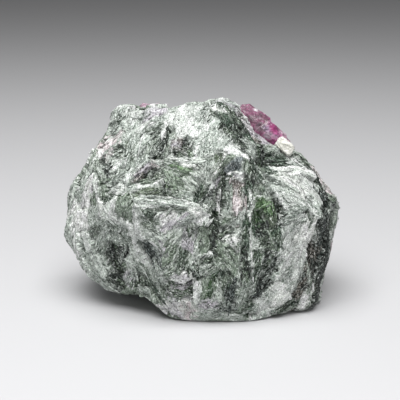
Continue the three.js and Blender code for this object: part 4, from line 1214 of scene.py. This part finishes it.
def laid_path(path, lifted, normals, seen):
    """A vein's middle line on the skin and the way up at each step: the mean of the skin
    points that look nearest to the path, each weighted by 1 / (distance^2 + a little). The
    line between its ends is then smoothed twice."""
    share, knots = np.linspace(0, 1, VEIN_STEPS), np.linspace(0, 1, len(path))
    place = np.stack([np.interp(share, knots, part) for part in np.array(path).T], axis=1)
    apart = ((place[:, None, :] - seen) ** 2).sum(2)
    near = np.argpartition(apart, VEIN_NEAR, axis=1)[:, :VEIN_NEAR]
    weight = 1 / (np.take_along_axis(apart, near, 1) + NEAR_ENOUGH)
    weight = (weight / weight.sum(1, keepdims=True))[..., None]
    middle, up = (lifted[near] * weight).sum(1), (normals[near] * weight).sum(1)
    for _ in range(2):
        middle[1:-1] = (middle[:-2] + 2 * middle[1:-1] + middle[2:]) / 4
    return middle, up


def make_veins(name, seed, sizes):
    """Thin raised veins of pale mica. Each is a five-sided rib carried along its path on
    the skin. Its width swells and thins by noise, and tapers to its ends as
    sqrt(sin(pi t))."""
    skin, _, (lifted, *_) = finished_skin(sizes)
    seen = seen_by_eye(lifted, skin["normals"])
    around = len(VEIN_SECTION)
    share = np.linspace(0, 1, VEIN_STEPS)
    points, tints, grains = [], [], []
    for number, (_, path, wide, mineral) in enumerate(VEINS):
        middle, up = laid_path(path, lifted, skin["normals"], seen)
        along = unit(np.gradient(middle, axis=0))
        side = unit(np.cross(up, along))
        up = np.cross(along, side)
        swell = 1 + noise_of(VEIN_SWELL, middle, seed)
        width = wide * swell * np.maximum(np.sin(math.pi * share), VEIN_END) ** 0.5
        section = VEIN_SECTION[:, :1] * side[:, None] + VEIN_SECTION[:, 1:] * up[:, None]
        points.append((middle[:, None] + width[:, None, None] * section).reshape(-1, 3))
        shade = np.exp(noise_of(VEIN_SHADE, middle, seed))[:, None]
        tint = shade * np.array(getattr(bpy.context.scene.ruby_rock_colours, mineral))
        tints.append(np.repeat(tint, around, axis=0))
        lengthwise = np.repeat(share * np.linalg.norm(middle[-1] - middle[0]), around)
        sidewise = np.tile(VEIN_SECTION[:, 0] * wide, VEIN_STEPS)
        layer = np.full(VEIN_STEPS * around, VEIN_LAYER_STEP * number)
        grains.append(np.stack([lengthwise, sidewise, layer], axis=1))
    first_points = VEIN_STEPS * around * np.arange(len(VEINS))[:, None, None]
    faces = (tube_faces(around, VEIN_STEPS, False) + first_points).reshape(-1, 3)
    veins = mesh_object(name, np.concatenate(points), faces)
    tint = np.minimum(np.concatenate(tints), WHITEST)
    paint(veins, tint, np.full(len(tint), VEIN_FELT), np.concatenate(grains))
    return veins


# ------------------------------------------------------------------ crystals and grain

WELD, WORN_EDGE = 0.02 * MM, 0.18 * MM
WORN_ANGLE, CRYSTAL_CREASE = math.radians(25), math.radians(30)
BITTEN = 0.2  # the higher, the more of the skin is bitten
FINE_DEPTH, FINE_GRAIN = 0.35, 0.35  # the fine bites' depth and grain, as shares of the wide ones'


def finished_copy(node, name, subdivisions, chip, chip_grain, seed):
    """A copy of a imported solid, cut into smaller triangles and worn. Each point moves in by
    chip * (bites^2 + fine bites), so that flats stay flat and only bites are taken out.
    Returns it, its points in millimetres and how deep each one is bitten, in chips."""
    copy = bpy.data.objects.new(name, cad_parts[node].data.copy())
    bpy.context.scene.collection.objects.link(copy)
    weld = copy.modifiers.new("weld", "WELD")
    weld.merge_threshold = WELD
    bevel = copy.modifiers.new("worn_edges", "BEVEL")
    bevel.width = WORN_EDGE
    bevel.segments = 2
    bevel.limit_method = "ANGLE"
    bevel.angle_limit = WORN_ANGLE
    fine = copy.modifiers.new("fine", "SUBSURF")
    fine.subdivision_type = "SIMPLE"
    fine.levels = fine.render_levels = subdivisions
    mesh = bpy.data.meshes.new_from_object(copy.evaluated_get(bpy.context.evaluated_depsgraph_get()))
    copy.modifiers.clear()
    copy.data = mesh
    mesh.name = name
    points, normals = vertex_rows(mesh, "co") / MM, vertex_rows(mesh, "normal")
    bite = np.maximum(noise(points, chip_grain, seed) + BITTEN, 0) ** 2
    bite += FINE_DEPTH * np.maximum(noise(points, FINE_GRAIN * chip_grain, seed + 1), 0)
    points -= (chip * bite)[:, None] * normals
    mesh.vertices.foreach_set("co", (points * MM).astype(np.float32).ravel())
    mesh.update()
    mesh.shade_smooth()
    mesh.set_sharp_from_angle(angle=CRYSTAL_CREASE)
    return copy, points, bite


# The big ruby's colour runs along it, from the crest down: [share of the way, linear red,
# green and blue]. The share is measured across the block.
RUBY_RUN = np.array(
    [
        [0.00, 0.23, 0.105, 0.155],
        [0.15, 0.17, 0.068, 0.11],
        [0.40, 0.135, 0.042, 0.082],
        [0.55, 0.20, 0.065, 0.13],
        [0.72, 0.23, 0.038, 0.14],
        [0.85, 0.23, 0.055, 0.145],
        [0.93, 0.35, 0.22, 0.29],
        [1.00, 0.30, 0.22, 0.26],
    ]
)
# Marks in the big ruby, one of them a painted glint: middle across and up the broad face, radius, and
# linear colour.
RUBY_MARKS = [
    ("grey flank", 16.4, 23.2, 1.6, (0.125, 0.078, 0.10)),
    ("grey flank left", 13.9, 25.4, 0.9, (0.19, 0.14, 0.16)),
    ("dark vein", 16.2, 25.7, 1.3, (0.075, 0.025, 0.045)),
    ("dark vein right", 17.8, 25.1, 1.0, (0.10, 0.026, 0.055)),
    ("mauve foot", 18.3, 20.7, 1.2, (0.32, 0.24, 0.29)),
    ("pink foot", 20.1, 20.2, 0.8, (0.27, 0.15, 0.22)),
    ("violet patch", 17.9, 22.4, 0.9, (0.19, 0.13, 0.20)),
    ("red heart", 20.2, 22.6, 1.4, (0.26, 0.035, 0.135)),
    # A painted glint: a white spot where the ruby's top catches the light.
    ("painted glint", 15.0, 28.0, 0.55, (0.80, 0.76, 0.78)),
    ("bright edge", 21.6, 21.6, 0.6, (0.34, 0.16, 0.26)),
    ("pale lump", 22.6, 21.7, 0.7, (0.54, 0.40, 0.47)),
]
MARK_EDGE = (1.25, 0.7)  # a mark fades in between these shares of its radius
BRUISE = np.array([0.50, 0.36, 0.43])
BRUISED, BRUISE_SPAN = 0.4, (0.4, 0.8)  # how bruised the skin is, over these values of its noise
BITE_BRUISED, BITE_SPAN = 0.2, (0.25, 0.6)  # and over these depths of its bites
# The rubies' noises: strength, grain in millimetres, and seed, counted from the ruby's own.
RUN_SHAKE = (1.2, 1.8, 0)
WIDE_BLOTCHES = (0.4, 0.8, 1)
FINE_BLOTCHES = (0.35, 0.4, 2)
BRUISES = (1.0, 1.1, 3)
RAGGED_MARKS = (0.4, 0.8, 4)
HAZE = np.array([0.40, 0.30, 0.36])  # what clouds the ruby in the crest
# The rubies: solid, piece, depth and grain of the chips, seed, marks and share of haze.
RUBIES = [
    ("shoulder_ruby", "big_ruby", 0.7, 2.4, 41, RUBY_MARKS, 0.0),
    ("crest_ruby", "small_ruby", 1.5, 2.6, 46, [], 0.5),
]


def ruby_tint(points, bite, seed, marks):
    """Each point's colour: the run of colours along the ruby, shaken by noise, then the
    marks, darker in blotches, and paler where its skin is bruised."""
    across = points[:, 0] + noise_of(RUN_SHAKE, points, seed)
    share = (across - across.min()) / (across.max() - across.min())
    tint = np.stack([np.interp(share, RUBY_RUN[:, 0], band) for band in RUBY_RUN[:, 1:].T], axis=1)
    ragged = noise_of(RAGGED_MARKS, points, seed)
    for _, u, v, radius, mark in marks:
        apart = np.hypot((points - MIDDLE) @ FACE_RIGHT - u, (points - MIDDLE) @ FACE_UP - v) + ragged
        over = ramp(apart, MARK_EDGE[0] * radius, MARK_EDGE[1] * radius)[:, None]
        tint = tint * (1 - over) + np.array(mark) * over
    blotches = noise_of(WIDE_BLOTCHES, points, seed) + noise_of(FINE_BLOTCHES, points, seed)
    tint *= np.exp(blotches)[:, None]
    bruise = BRUISED * ramp(noise_of(BRUISES, points, seed), *BRUISE_SPAN)
    bruise = (bruise + BITE_BRUISED * ramp(bite, *BITE_SPAN))[:, None]
    return tint * (1 - bruise) + BRUISE * bruise


# ------------------------------------------------------------------ shader nodes


def feed(tree, node, inputs):
    """Fills a node's inputs, by name or number: links an output socket, or sets a value."""
    for key, value in dict(inputs).items():
        if isinstance(value, bpy.types.NodeSocket):
            tree.links.new(node.inputs[key], value)
        else:
            node.inputs[key].default_value = value


def add_node(tree, kind, inputs=(), **settings):
    """Adds a node with those settings and inputs, and returns its outputs."""
    node = tree.nodes.new(kind)
    for name, value in settings.items():
        setattr(node, name, value)
    feed(tree, node, inputs)
    return node.outputs


def maths(tree, operation, *values):
    """One operation on numbers, each a socket or a value."""
    return add_node(tree, "ShaderNodeMath", enumerate(values), operation=operation)[0]


def vector_maths(tree, operation, *values):
    """One operation on vectors, each a socket or a value."""
    return add_node(tree, "ShaderNodeVectorMath", enumerate(values), operation=operation)[0]


def map_range(tree, value, start, end, low, high):
    """Low up to start, high past end, and even between."""
    return add_node(tree, "ShaderNodeMapRange", enumerate((value, start, end, low, high)))[0]


def mix_colours(tree, factor, a, b, blend="MIX"):
    """A colour mix of a and b by factor, each a socket or a value."""
    inputs = {0: factor, 6: a, 7: b}
    return add_node(tree, "ShaderNodeMix", inputs, data_type="RGBA", blend_type=blend)[2]


def shader_group(name, inputs, outputs):
    """An empty node group with those named sockets. Returns it, its inputs to link from,
    and its output node."""
    group = bpy.data.node_groups.new(name, "ShaderNodeTree")
    for socket, kind, *default in inputs:
        made = group.interface.new_socket(socket, in_out="INPUT", socket_type=kind)
        if default:
            made.default_value = default[0]
    for socket, kind in outputs:
        group.interface.new_socket(socket, in_out="OUTPUT", socket_type=kind)
    return group, group.nodes.new("NodeGroupInput").outputs, group.nodes.new("NodeGroupOutput")


def make_facets():
    """Small flat cleavage faces drawn out along the fibres: each cell of a stretched
    Voronoi pattern has its own shade and chance, from 0 to 1, and its own tilt. normal =
    unit(the surface's normal + tilt * (the cell's random colour - 0.5))."""
    group, given, out = shader_group(
        "facets",
        [
            ("Grain", "NodeSocketVector"),
            ("Cells per mm", "NodeSocketVector", (0.7, 2.2, 1.0)),
            ("Normal", "NodeSocketVector"),
            ("Tilt", "NodeSocketFloat", 0.8),
        ],
        [("Shade", "NodeSocketFloat"), ("Chance", "NodeSocketFloat"), ("Normal", "NodeSocketVector")],
    )
    place = vector_maths(group, "MULTIPLY", given["Grain"], given["Cells per mm"])
    cell = add_node(group, "ShaderNodeTexVoronoi", {"Vector": place, "Scale": 1.0})["Color"]
    middle = vector_maths(group, "SUBTRACT", cell, (0.5, 0.5, 0.5))
    leaning = {0: middle, "Scale": given["Tilt"]}
    lean = add_node(group, "ShaderNodeVectorMath", leaning, operation="SCALE")[0]
    tilted = vector_maths(group, "ADD", lean, given["Normal"])
    bands = add_node(group, "ShaderNodeSeparateColor", {0: cell})
    normal = vector_maths(group, "NORMALIZE", tilted)
    feed(group, out, {"Shade": bands[0], "Chance": bands[1], "Normal": normal})
    return group


THREAD_SETS = ((0.35, 0.0), (-0.35, 60.0))  # each set's turn in radians, and its shift
THREAD_STRETCH = (0.7, 2.6, 1.0)  # the threads' pattern along, across and through, per mm
THREAD_NOISE = {"Scale": 1.0, "Detail": 2.0, "Roughness": 0.55}
THREAD_EDGE = (0.015, 0.042)  # a thread fades out this far from the noise's middle value


def make_threads():
    """Hair-thin fibres that wind along the sheaf: the lines where a stretched noise passes
    its middle value, in two sets that cross at a narrow angle. The mask is 1 on a thread."""
    group, given, out = shader_group(
        "threads",
        [("Grain", "NodeSocketVector"), ("Strength", "NodeSocketFloat", 0.7)],
        [("Mask", "NodeSocketFloat")],
    )
    sets = []
    for turn, shift in THREAD_SETS:
        turning = {0: given["Grain"], "Angle": turn}
        place = add_node(group, "ShaderNodeVectorRotate", turning, rotation_type="Z_AXIS")[0]
        place = vector_maths(group, "MULTIPLY_ADD", place, THREAD_STRETCH, (shift, shift, shift))
        field = add_node(group, "ShaderNodeTexNoise", {"Vector": place, **THREAD_NOISE})[0]
        away = maths(group, "ABSOLUTE", maths(group, "SUBTRACT", field, 0.5))
        sets.append(map_range(group, away, *THREAD_EDGE, 1.0, 0.0))
    both = maths(group, "MAXIMUM", *sets)
    feed(group, out, {"Mask": maths(group, "MULTIPLY", both, given["Strength"])})
    return group


FLECK_STRETCH = (2.4, 3.2, 1)  # the flecks' pattern along, across and through, per mm
FLECK_NOISE = {"Scale": 1.0, "Detail": 3.0, "Roughness": 0.65}
FLECK_SHIFTS = {"Pale": 40.0, "Dark": 90.0}  # how far each kind's pattern is shifted
# A fleck starts where the noise passes this less the flecks' share, and is whole this
# much further in.
FLECK_BOUND, FLECK_SOFT = 0.68, 0.1


def make_flecks():
    """Small grains and splinters: how far each place is into a pale one or a dark one,
    from 0 to 1."""
    group, given, out = shader_group(
        "flecks",
        [
            ("Grain", "NodeSocketVector"),
            ("Pale share", "NodeSocketFloat", 0.1),
            ("Dark share", "NodeSocketFloat", 0.1),
        ],
        [("Pale", "NodeSocketFloat"), ("Dark", "NodeSocketFloat")],
    )
    drawn = vector_maths(group, "MULTIPLY", given["Grain"], FLECK_STRETCH)
    for name, shift in FLECK_SHIFTS.items():
        place = vector_maths(group, "ADD", drawn, (shift, shift, shift))
        field = add_node(group, "ShaderNodeTexNoise", {"Vector": place, **FLECK_NOISE})[0]
        bound = maths(group, "SUBTRACT", FLECK_BOUND, given[f"{name} share"])
        top = maths(group, "ADD", bound, FLECK_SOFT)
        feed(group, out, {name: map_range(group, field, bound, top, 0.0, 1.0)})
    return group


# ------------------------------------------------------------------ materials

# Pale threads and splinters take a paler, lit copy of the colour: paler mica, and partly a painted
# sheen.
SPLINTER_GLOW = ((1.5, 1.5, 1.5), (0.04, 0.043, 0.04))  # a pale splinter is colour * a + b
COARSE_CELLS, FINE_CELLS = (0.55, 2.0, 1.0), (2.8, 4.4, 1.0)  # cleavage faces per mm
COARSE_TILT = 0.45
THREADED = 0.55  # how strong the threads are where the rock is all loose fibres
FLECKED = {"Pale share": 0.17, "Dark share": 0.17}
# How one value follows another: from where to where, and what it is at each.
TILT_BY_PALENESS = (0.05, 0.6, 1.0, 0.15)
GAIN_BY_COARSE_FACE = (0.0, 1.0, 1.08, 0.92)
GAIN_BY_FINE_FACE = (0.0, 1.0, 2.0, 0.46)
CONTRAST_BY_PALENESS = (0.15, 0.55, 1.1, 0.48)
CONTRAST_BY_FELT = (0.3, 0.6, 0.62, 1.08)
ROUGHNESS_BY_FACE = (0.0, 1.0, 0.6, 0.36)
SHADE_BY_CLOUD = (0.3, 0.7, 0.5, 1.5)
BLACKENING = (0.45, 0.45, 0.45, 1)
PITTING = (0.4, 0.4, 0.4, 1)
# A painted glint: this pale colour is put on a few random faces, as if they caught the light.
PAINTED_GLINT = (0.42, 0.44, 0.42, 1)
PAINTED_GLINT_CHANCE, PIT_CHANCE = 0.97, 0.05  # faces above the one glint, and below the other are pits


def new_material(name):
    """A material with only a Principled shader and its output. Returns it, its tree and
    the shader."""
    material = bpy.data.materials.new(name)
    material.use_nodes = True
    tree = material.node_tree
    return material, tree, tree.nodes["Principled BSDF"]


def rock_material(facets, threads, flecks):
    """Fibrous mica rock: the blades' own colours, broken into small cleavage faces in two
    sizes, with pale threads and splinters that are partly a painted sheen, black splinters,
    painted glints and black pits on a few faces, and a silky gloss that varies by the face.
    The faces differ less on pale minerals and on clean, flat leaves."""
    material, tree, shader = new_material("fibrous_rock")
    tint = add_node(tree, "ShaderNodeAttribute", attribute_name="tint")
    grain = add_node(tree, "ShaderNodeAttribute", attribute_name="grain")["Vector"]
    surface = add_node(tree, "ShaderNodeNewGeometry")["Normal"]
    paleness = add_node(tree, "ShaderNodeSeparateColor", {0: tint["Color"]})[1]

    cells = {"Grain": grain, "Normal": surface, "Cells per mm": COARSE_CELLS, "Tilt": COARSE_TILT}
    coarse = add_node(tree, "ShaderNodeGroup", cells, node_tree=facets)
    tilt = map_range(tree, paleness, *TILT_BY_PALENESS)
    cells = {"Grain": grain, "Normal": coarse["Normal"], "Cells per mm": FINE_CELLS, "Tilt": tilt}
    fine = add_node(tree, "ShaderNodeGroup", cells, node_tree=facets)
    felt = {"Grain": grain, "Strength": maths(tree, "MULTIPLY", tint["Alpha"], THREADED)}
    lines = add_node(tree, "ShaderNodeGroup", felt, node_tree=threads)["Mask"]
    specks = add_node(tree, "ShaderNodeGroup", {"Grain": grain, **FLECKED}, node_tree=flecks)

    wide_gain = map_range(tree, coarse["Shade"], *GAIN_BY_COARSE_FACE)
    fine_gain = map_range(tree, fine["Shade"], *GAIN_BY_FINE_FACE)
    gain = maths(tree, "MULTIPLY", wide_gain, fine_gain)
    calm = map_range(tree, paleness, *CONTRAST_BY_PALENESS)
    clean = map_range(tree, tint["Alpha"], *CONTRAST_BY_FELT)
    calmed = maths(tree, "POWER", gain, maths(tree, "MULTIPLY", calm, clean))
    streaked = add_node(tree, "ShaderNodeGamma", {0: tint["Color"], 1: calmed})[0]

    # The lit copy: paler mica, and partly a painted sheen on the threads and splinters.
    lit = vector_maths(tree, "MULTIPLY_ADD", streaked, *SPLINTER_GLOW)
    threaded = mix_colours(tree, lines, streaked, lit)
    whitened = mix_colours(tree, specks["Pale"], threaded, lit)
    blackened = mix_colours(tree, specks["Dark"], whitened, BLACKENING, "MULTIPLY")
    # Painted glints on the rarest faces, and black pits on the fewest.
    painted_glint = maths(tree, "GREATER_THAN", fine["Chance"], PAINTED_GLINT_CHANCE)
    pit = maths(tree, "LESS_THAN", fine["Chance"], PIT_CHANCE)
    pitted = mix_colours(tree, pit, blackened, PITTING, "MULTIPLY")
    skin = {
        "Base Color": mix_colours(tree, painted_glint, pitted, PAINTED_GLINT),
        "Roughness": map_range(tree, coarse["Shade"], *ROUGHNESS_BY_FACE),
        "Normal": fine["Normal"],
        "Specular IOR Level": 0.18,
    }
    feed(tree, shader, skin)
    return material


def ruby_material():
    """Ruby: its own painted colour, clouded and flecked, with a painted sheen that pales it
    towards faces seen edge-on, and a glassy broken skin.
    """
    material, tree, shader = new_material("ruby")
    place = add_node(tree, "ShaderNodeTexCoord")["Object"]
    tint = add_node(tree, "ShaderNodeAttribute", attribute_name="tint")["Color"]
    cloud = add_node(tree, "ShaderNodeTexNoise", {"Vector": place, "Scale": 1400, "Detail": 4})[0]
    clouded = vector_maths(tree, "MULTIPLY", tint, map_range(tree, cloud, *SHADE_BY_CLOUD))
    # A painted sheen: the colour turns paler towards faces seen edge-on, where the translucent ruby's
    # edges light up.
    edge_sheen = add_node(tree, "ShaderNodeLayerWeight", {0: 0.3})["Facing"]
    haze = maths(tree, "MULTIPLY", edge_sheen, 0.45)
    flaws = add_node(tree, "ShaderNodeTexVoronoi", {"Vector": place, "Scale": 1100})["Distance"]
    bumps = {"Height": flaws, "Strength": 0.7, "Distance": 0.3 * MM}
    skin = {
        "Base Color": mix_colours(tree, haze, clouded, (0.50, 0.38, 0.44, 1)),
        "Normal": add_node(tree, "ShaderNodeBump", bumps)[0],
        "Roughness": 0.3,
        "Subsurface Weight": 0.15,
        "Subsurface Radius": (1.0, 0.3, 0.5),
        "Subsurface Scale": 0.5 * MM,
    }
    feed(tree, shader, skin)
    return material


def feldspar_material():
    """Feldspar: cream, with cloudy white parts and a waxy skin."""
    material, tree, shader = new_material("feldspar")
    place = add_node(tree, "ShaderNodeTexCoord")["Object"]
    cloud = add_node(tree, "ShaderNodeTexNoise", {"Vector": place, "Scale": 420, "Detail": 4})[0]
    shades = tree.nodes.new("ShaderNodeValToRGB")
    cream, white = shades.color_ramp.elements
    cream.position, cream.color = 0.35, (0.56, 0.555, 0.50, 1)
    white.position, white.color = 0.62, (0.84, 0.835, 0.79, 1)
    feed(tree, shades, {0: cloud})
    bumps = {"Height": cloud, "Strength": 0.5, "Distance": 0.2 * MM}
    skin = {
        "Base Color": shades.outputs[0],
        "Normal": add_node(tree, "ShaderNodeBump", bumps)[0],
        "Roughness": 0.45,
    }
    feed(tree, shader, skin)
    return material


# ------------------------------------------------------------------ operators


def settle(piece, material, slot, *nodes):
    """Gives a finished piece its material, its body and the solids it shows. The slot is not used."""
    piece.data.materials.clear()
    piece.data.materials.append(material)
    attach(piece, "root")
    if nodes:
        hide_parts(*nodes)


def shared_rock_material():
    """The rock's material, made the first time it is asked for."""
    made = bpy.data.materials.get("fibrous_rock")
    return made or rock_material(make_facets(), make_threads(), make_flecks())


class RUBYROCK_OT_rock(Operator):
    """Makes the rock's fibrous skin"""

    bl_idname = "rubyrock.rock"
    bl_label = "Rock"

    def execute(self, context):
        rock = make_rock(context.scene.ruby_rock_sizes)
        settle(rock, shared_rock_material(), "matrix", "matrix")
        return {"FINISHED"}


PLATES_SEED, VEINS_SEED = 103, 61


class RUBYROCK_OT_blades(Operator):
    """Lays flat plates, loose-ended blades and fibres, and thin veins on the rock"""

    bl_idname = "rubyrock.blades"
    bl_label = "Plates, blades and veins"

    def execute(self, context):
        sizes = context.scene.ruby_rock_sizes
        settle(make_plates("mica_plates", PLATES_SEED, sizes), shared_rock_material(), "matrix")
        for name in LOOSE_PIECES:
            settle(make_loose(name, sizes), shared_rock_material(), "matrix")
        settle(make_veins("mica_veins", VEINS_SEED, sizes), shared_rock_material(), "matrix")
        return {"FINISHED"}


RUBY_CUTS = 3  # how many times the rubies' skin is cut into smaller faces
FELDSPAR_WEAR = (2, 0.6, 1.2, 51)  # cuts, depth and grain of the chips, and seed


class RUBYROCK_OT_rubies(Operator):
    """Wears and chips the ruby in the shoulder and the one in the crest"""

    bl_idname = "rubyrock.rubies"
    bl_label = "Rubies"

    def execute(self, context):
        material = ruby_material()
        for node, name, chip, grain, seed, marks, haze in RUBIES:
            ruby, points, bite = finished_copy(node, name, RUBY_CUTS, chip, grain, seed)
            tint = ruby_tint(points, bite, seed, marks)
            paint(ruby, (1 - haze) * tint + haze * HAZE)
            settle(ruby, material, "ruby", node)
        return {"FINISHED"}


class RUBYROCK_OT_feldspar(Operator):
    """Wears and chips the feldspar grain"""

    bl_idname = "rubyrock.feldspar"
    bl_label = "Feldspar grain"

    def execute(self, context):
        grain, _, _ = finished_copy("feldspar_grain", "feldspar", *FELDSPAR_WEAR)
        settle(grain, feldspar_material(), "feldspar", "feldspar_grain")
        return {"FINISHED"}


FLOOR_REACH = 1.2  # metres from the block to the floor's edge
LOOK_LIFT = 3.32  # the camera looks this far above the block's middle, in millimetres
LENS, SENSOR = 97.7, 36  # millimetres
# The softboxes: place and side, in metres.
KEY_PLACE, KEY_SIZE = (-0.03, -0.18, 0.54), 0.5
FILL_PLACE, FILL_SIZE = (-0.05, -0.75, 0.2), 0.6


def softbox(name, place, size, power):
    """A square area light that faces the block."""
    data = bpy.data.lights.new(name, "AREA")
    data.shape = "SQUARE"
    data.size = size
    data.energy = power
    lamp = bpy.data.objects.new(name, data)
    lamp.location = place
    lamp.rotation_euler = (Vector(MIDDLE * MM) - Vector(place)).to_track_quat("-Z", "Y").to_euler()
    bpy.context.scene.collection.objects.link(lamp)


class RUBYROCK_OT_stage(Operator):
    """Makes the floor, the lights and the camera"""

    bl_idname = "rubyrock.stage"
    bl_label = "Stage"

    def execute(self, context):
        settings = context.scene.ruby_stage
        reach = FLOOR_REACH / MM
        corners = np.array([[-1, -1, 0], [1, -1, 0], [1, 1, 0], [-1, 1, 0]]) * reach
        floor = mesh_object("floor", corners, np.array([[0, 1, 2, 3]]))
        material, tree, shader = new_material("pale_floor")
        feed(tree, shader, {"Base Color": (*settings.floor_colour, 1), "Roughness": 0.7})
        floor.data.materials.append(material)
        softbox("key", KEY_PLACE, KEY_SIZE, settings.key_power)
        softbox("fill", FILL_PLACE, FILL_SIZE, settings.fill_power)
        world = bpy.data.worlds.new("room")
        world.use_nodes = True
        light = {"Color": (1, 1, 1, 1), "Strength": settings.room}
        feed(world.node_tree, world.node_tree.nodes["Background"], light)
        context.scene.world = world
        context.scene.view_settings.view_transform = "Standard"
        data = bpy.data.cameras.new("camera")
        data.lens = LENS
        data.sensor_width = SENSOR
        camera = bpy.data.objects.new("camera", data)
        camera.location = (MIDDLE + LOOK_LIFT * FACE_UP + EYE_DISTANCE * FACE_OUT) * MM
        camera.rotation_euler = (math.pi / 2 - LEAN, 0, 0)
        context.scene.collection.objects.link(camera)
        context.scene.camera = camera
        return {"FINISHED"}


class RUBYROCK_PT_panel(Panel):
    """Lists the pieces in the sidebar"""

    bl_idname = "RUBYROCK_PT_panel"
    bl_label = "Ruby in Matrix"
    bl_space_type = "VIEW_3D"
    bl_region_type = "UI"
    bl_category = "Ruby"

    def draw(self, context):
        for name in GROUPS:
            group = getattr(context.scene, name)
            for setting in group.__annotations__:
                self.layout.prop(group, setting)
        for operator in OPERATORS:
            self.layout.operator(operator.bl_idname)


OPERATORS = (
    RUBYROCK_OT_rock,
    RUBYROCK_OT_blades,
    RUBYROCK_OT_rubies,
    RUBYROCK_OT_feldspar,
    RUBYROCK_OT_stage,
)
GROUPS = {
    "ruby_rock_colours": RubyRockColours,
    "ruby_rock_sizes": RubyRockSizes,
    "ruby_stage": RubyStageSettings,
}


def register():
    """Registers the classes and puts the settings on the scene."""
    for name, group in GROUPS.items():
        bpy.utils.register_class(group)
        setattr(bpy.types.Scene, name, PointerProperty(type=group))
    for operator in OPERATORS:
        bpy.utils.register_class(operator)
    bpy.utils.register_class(RUBYROCK_PT_panel)


def unregister():
    """Undoes register()."""
    bpy.utils.unregister_class(RUBYROCK_PT_panel)
    for operator in reversed(OPERATORS):
        bpy.utils.unregister_class(operator)
    for name, group in reversed(GROUPS.items()):
        delattr(bpy.types.Scene, name)
        bpy.utils.unregister_class(group)


def main():
    register()
    bpy.ops.rubyrock.rock()
    bpy.ops.rubyrock.blades()
    bpy.ops.rubyrock.rubies()
    bpy.ops.rubyrock.feldspar()
    bpy.ops.rubyrock.stage()


if __name__ == "__main__":
    main()
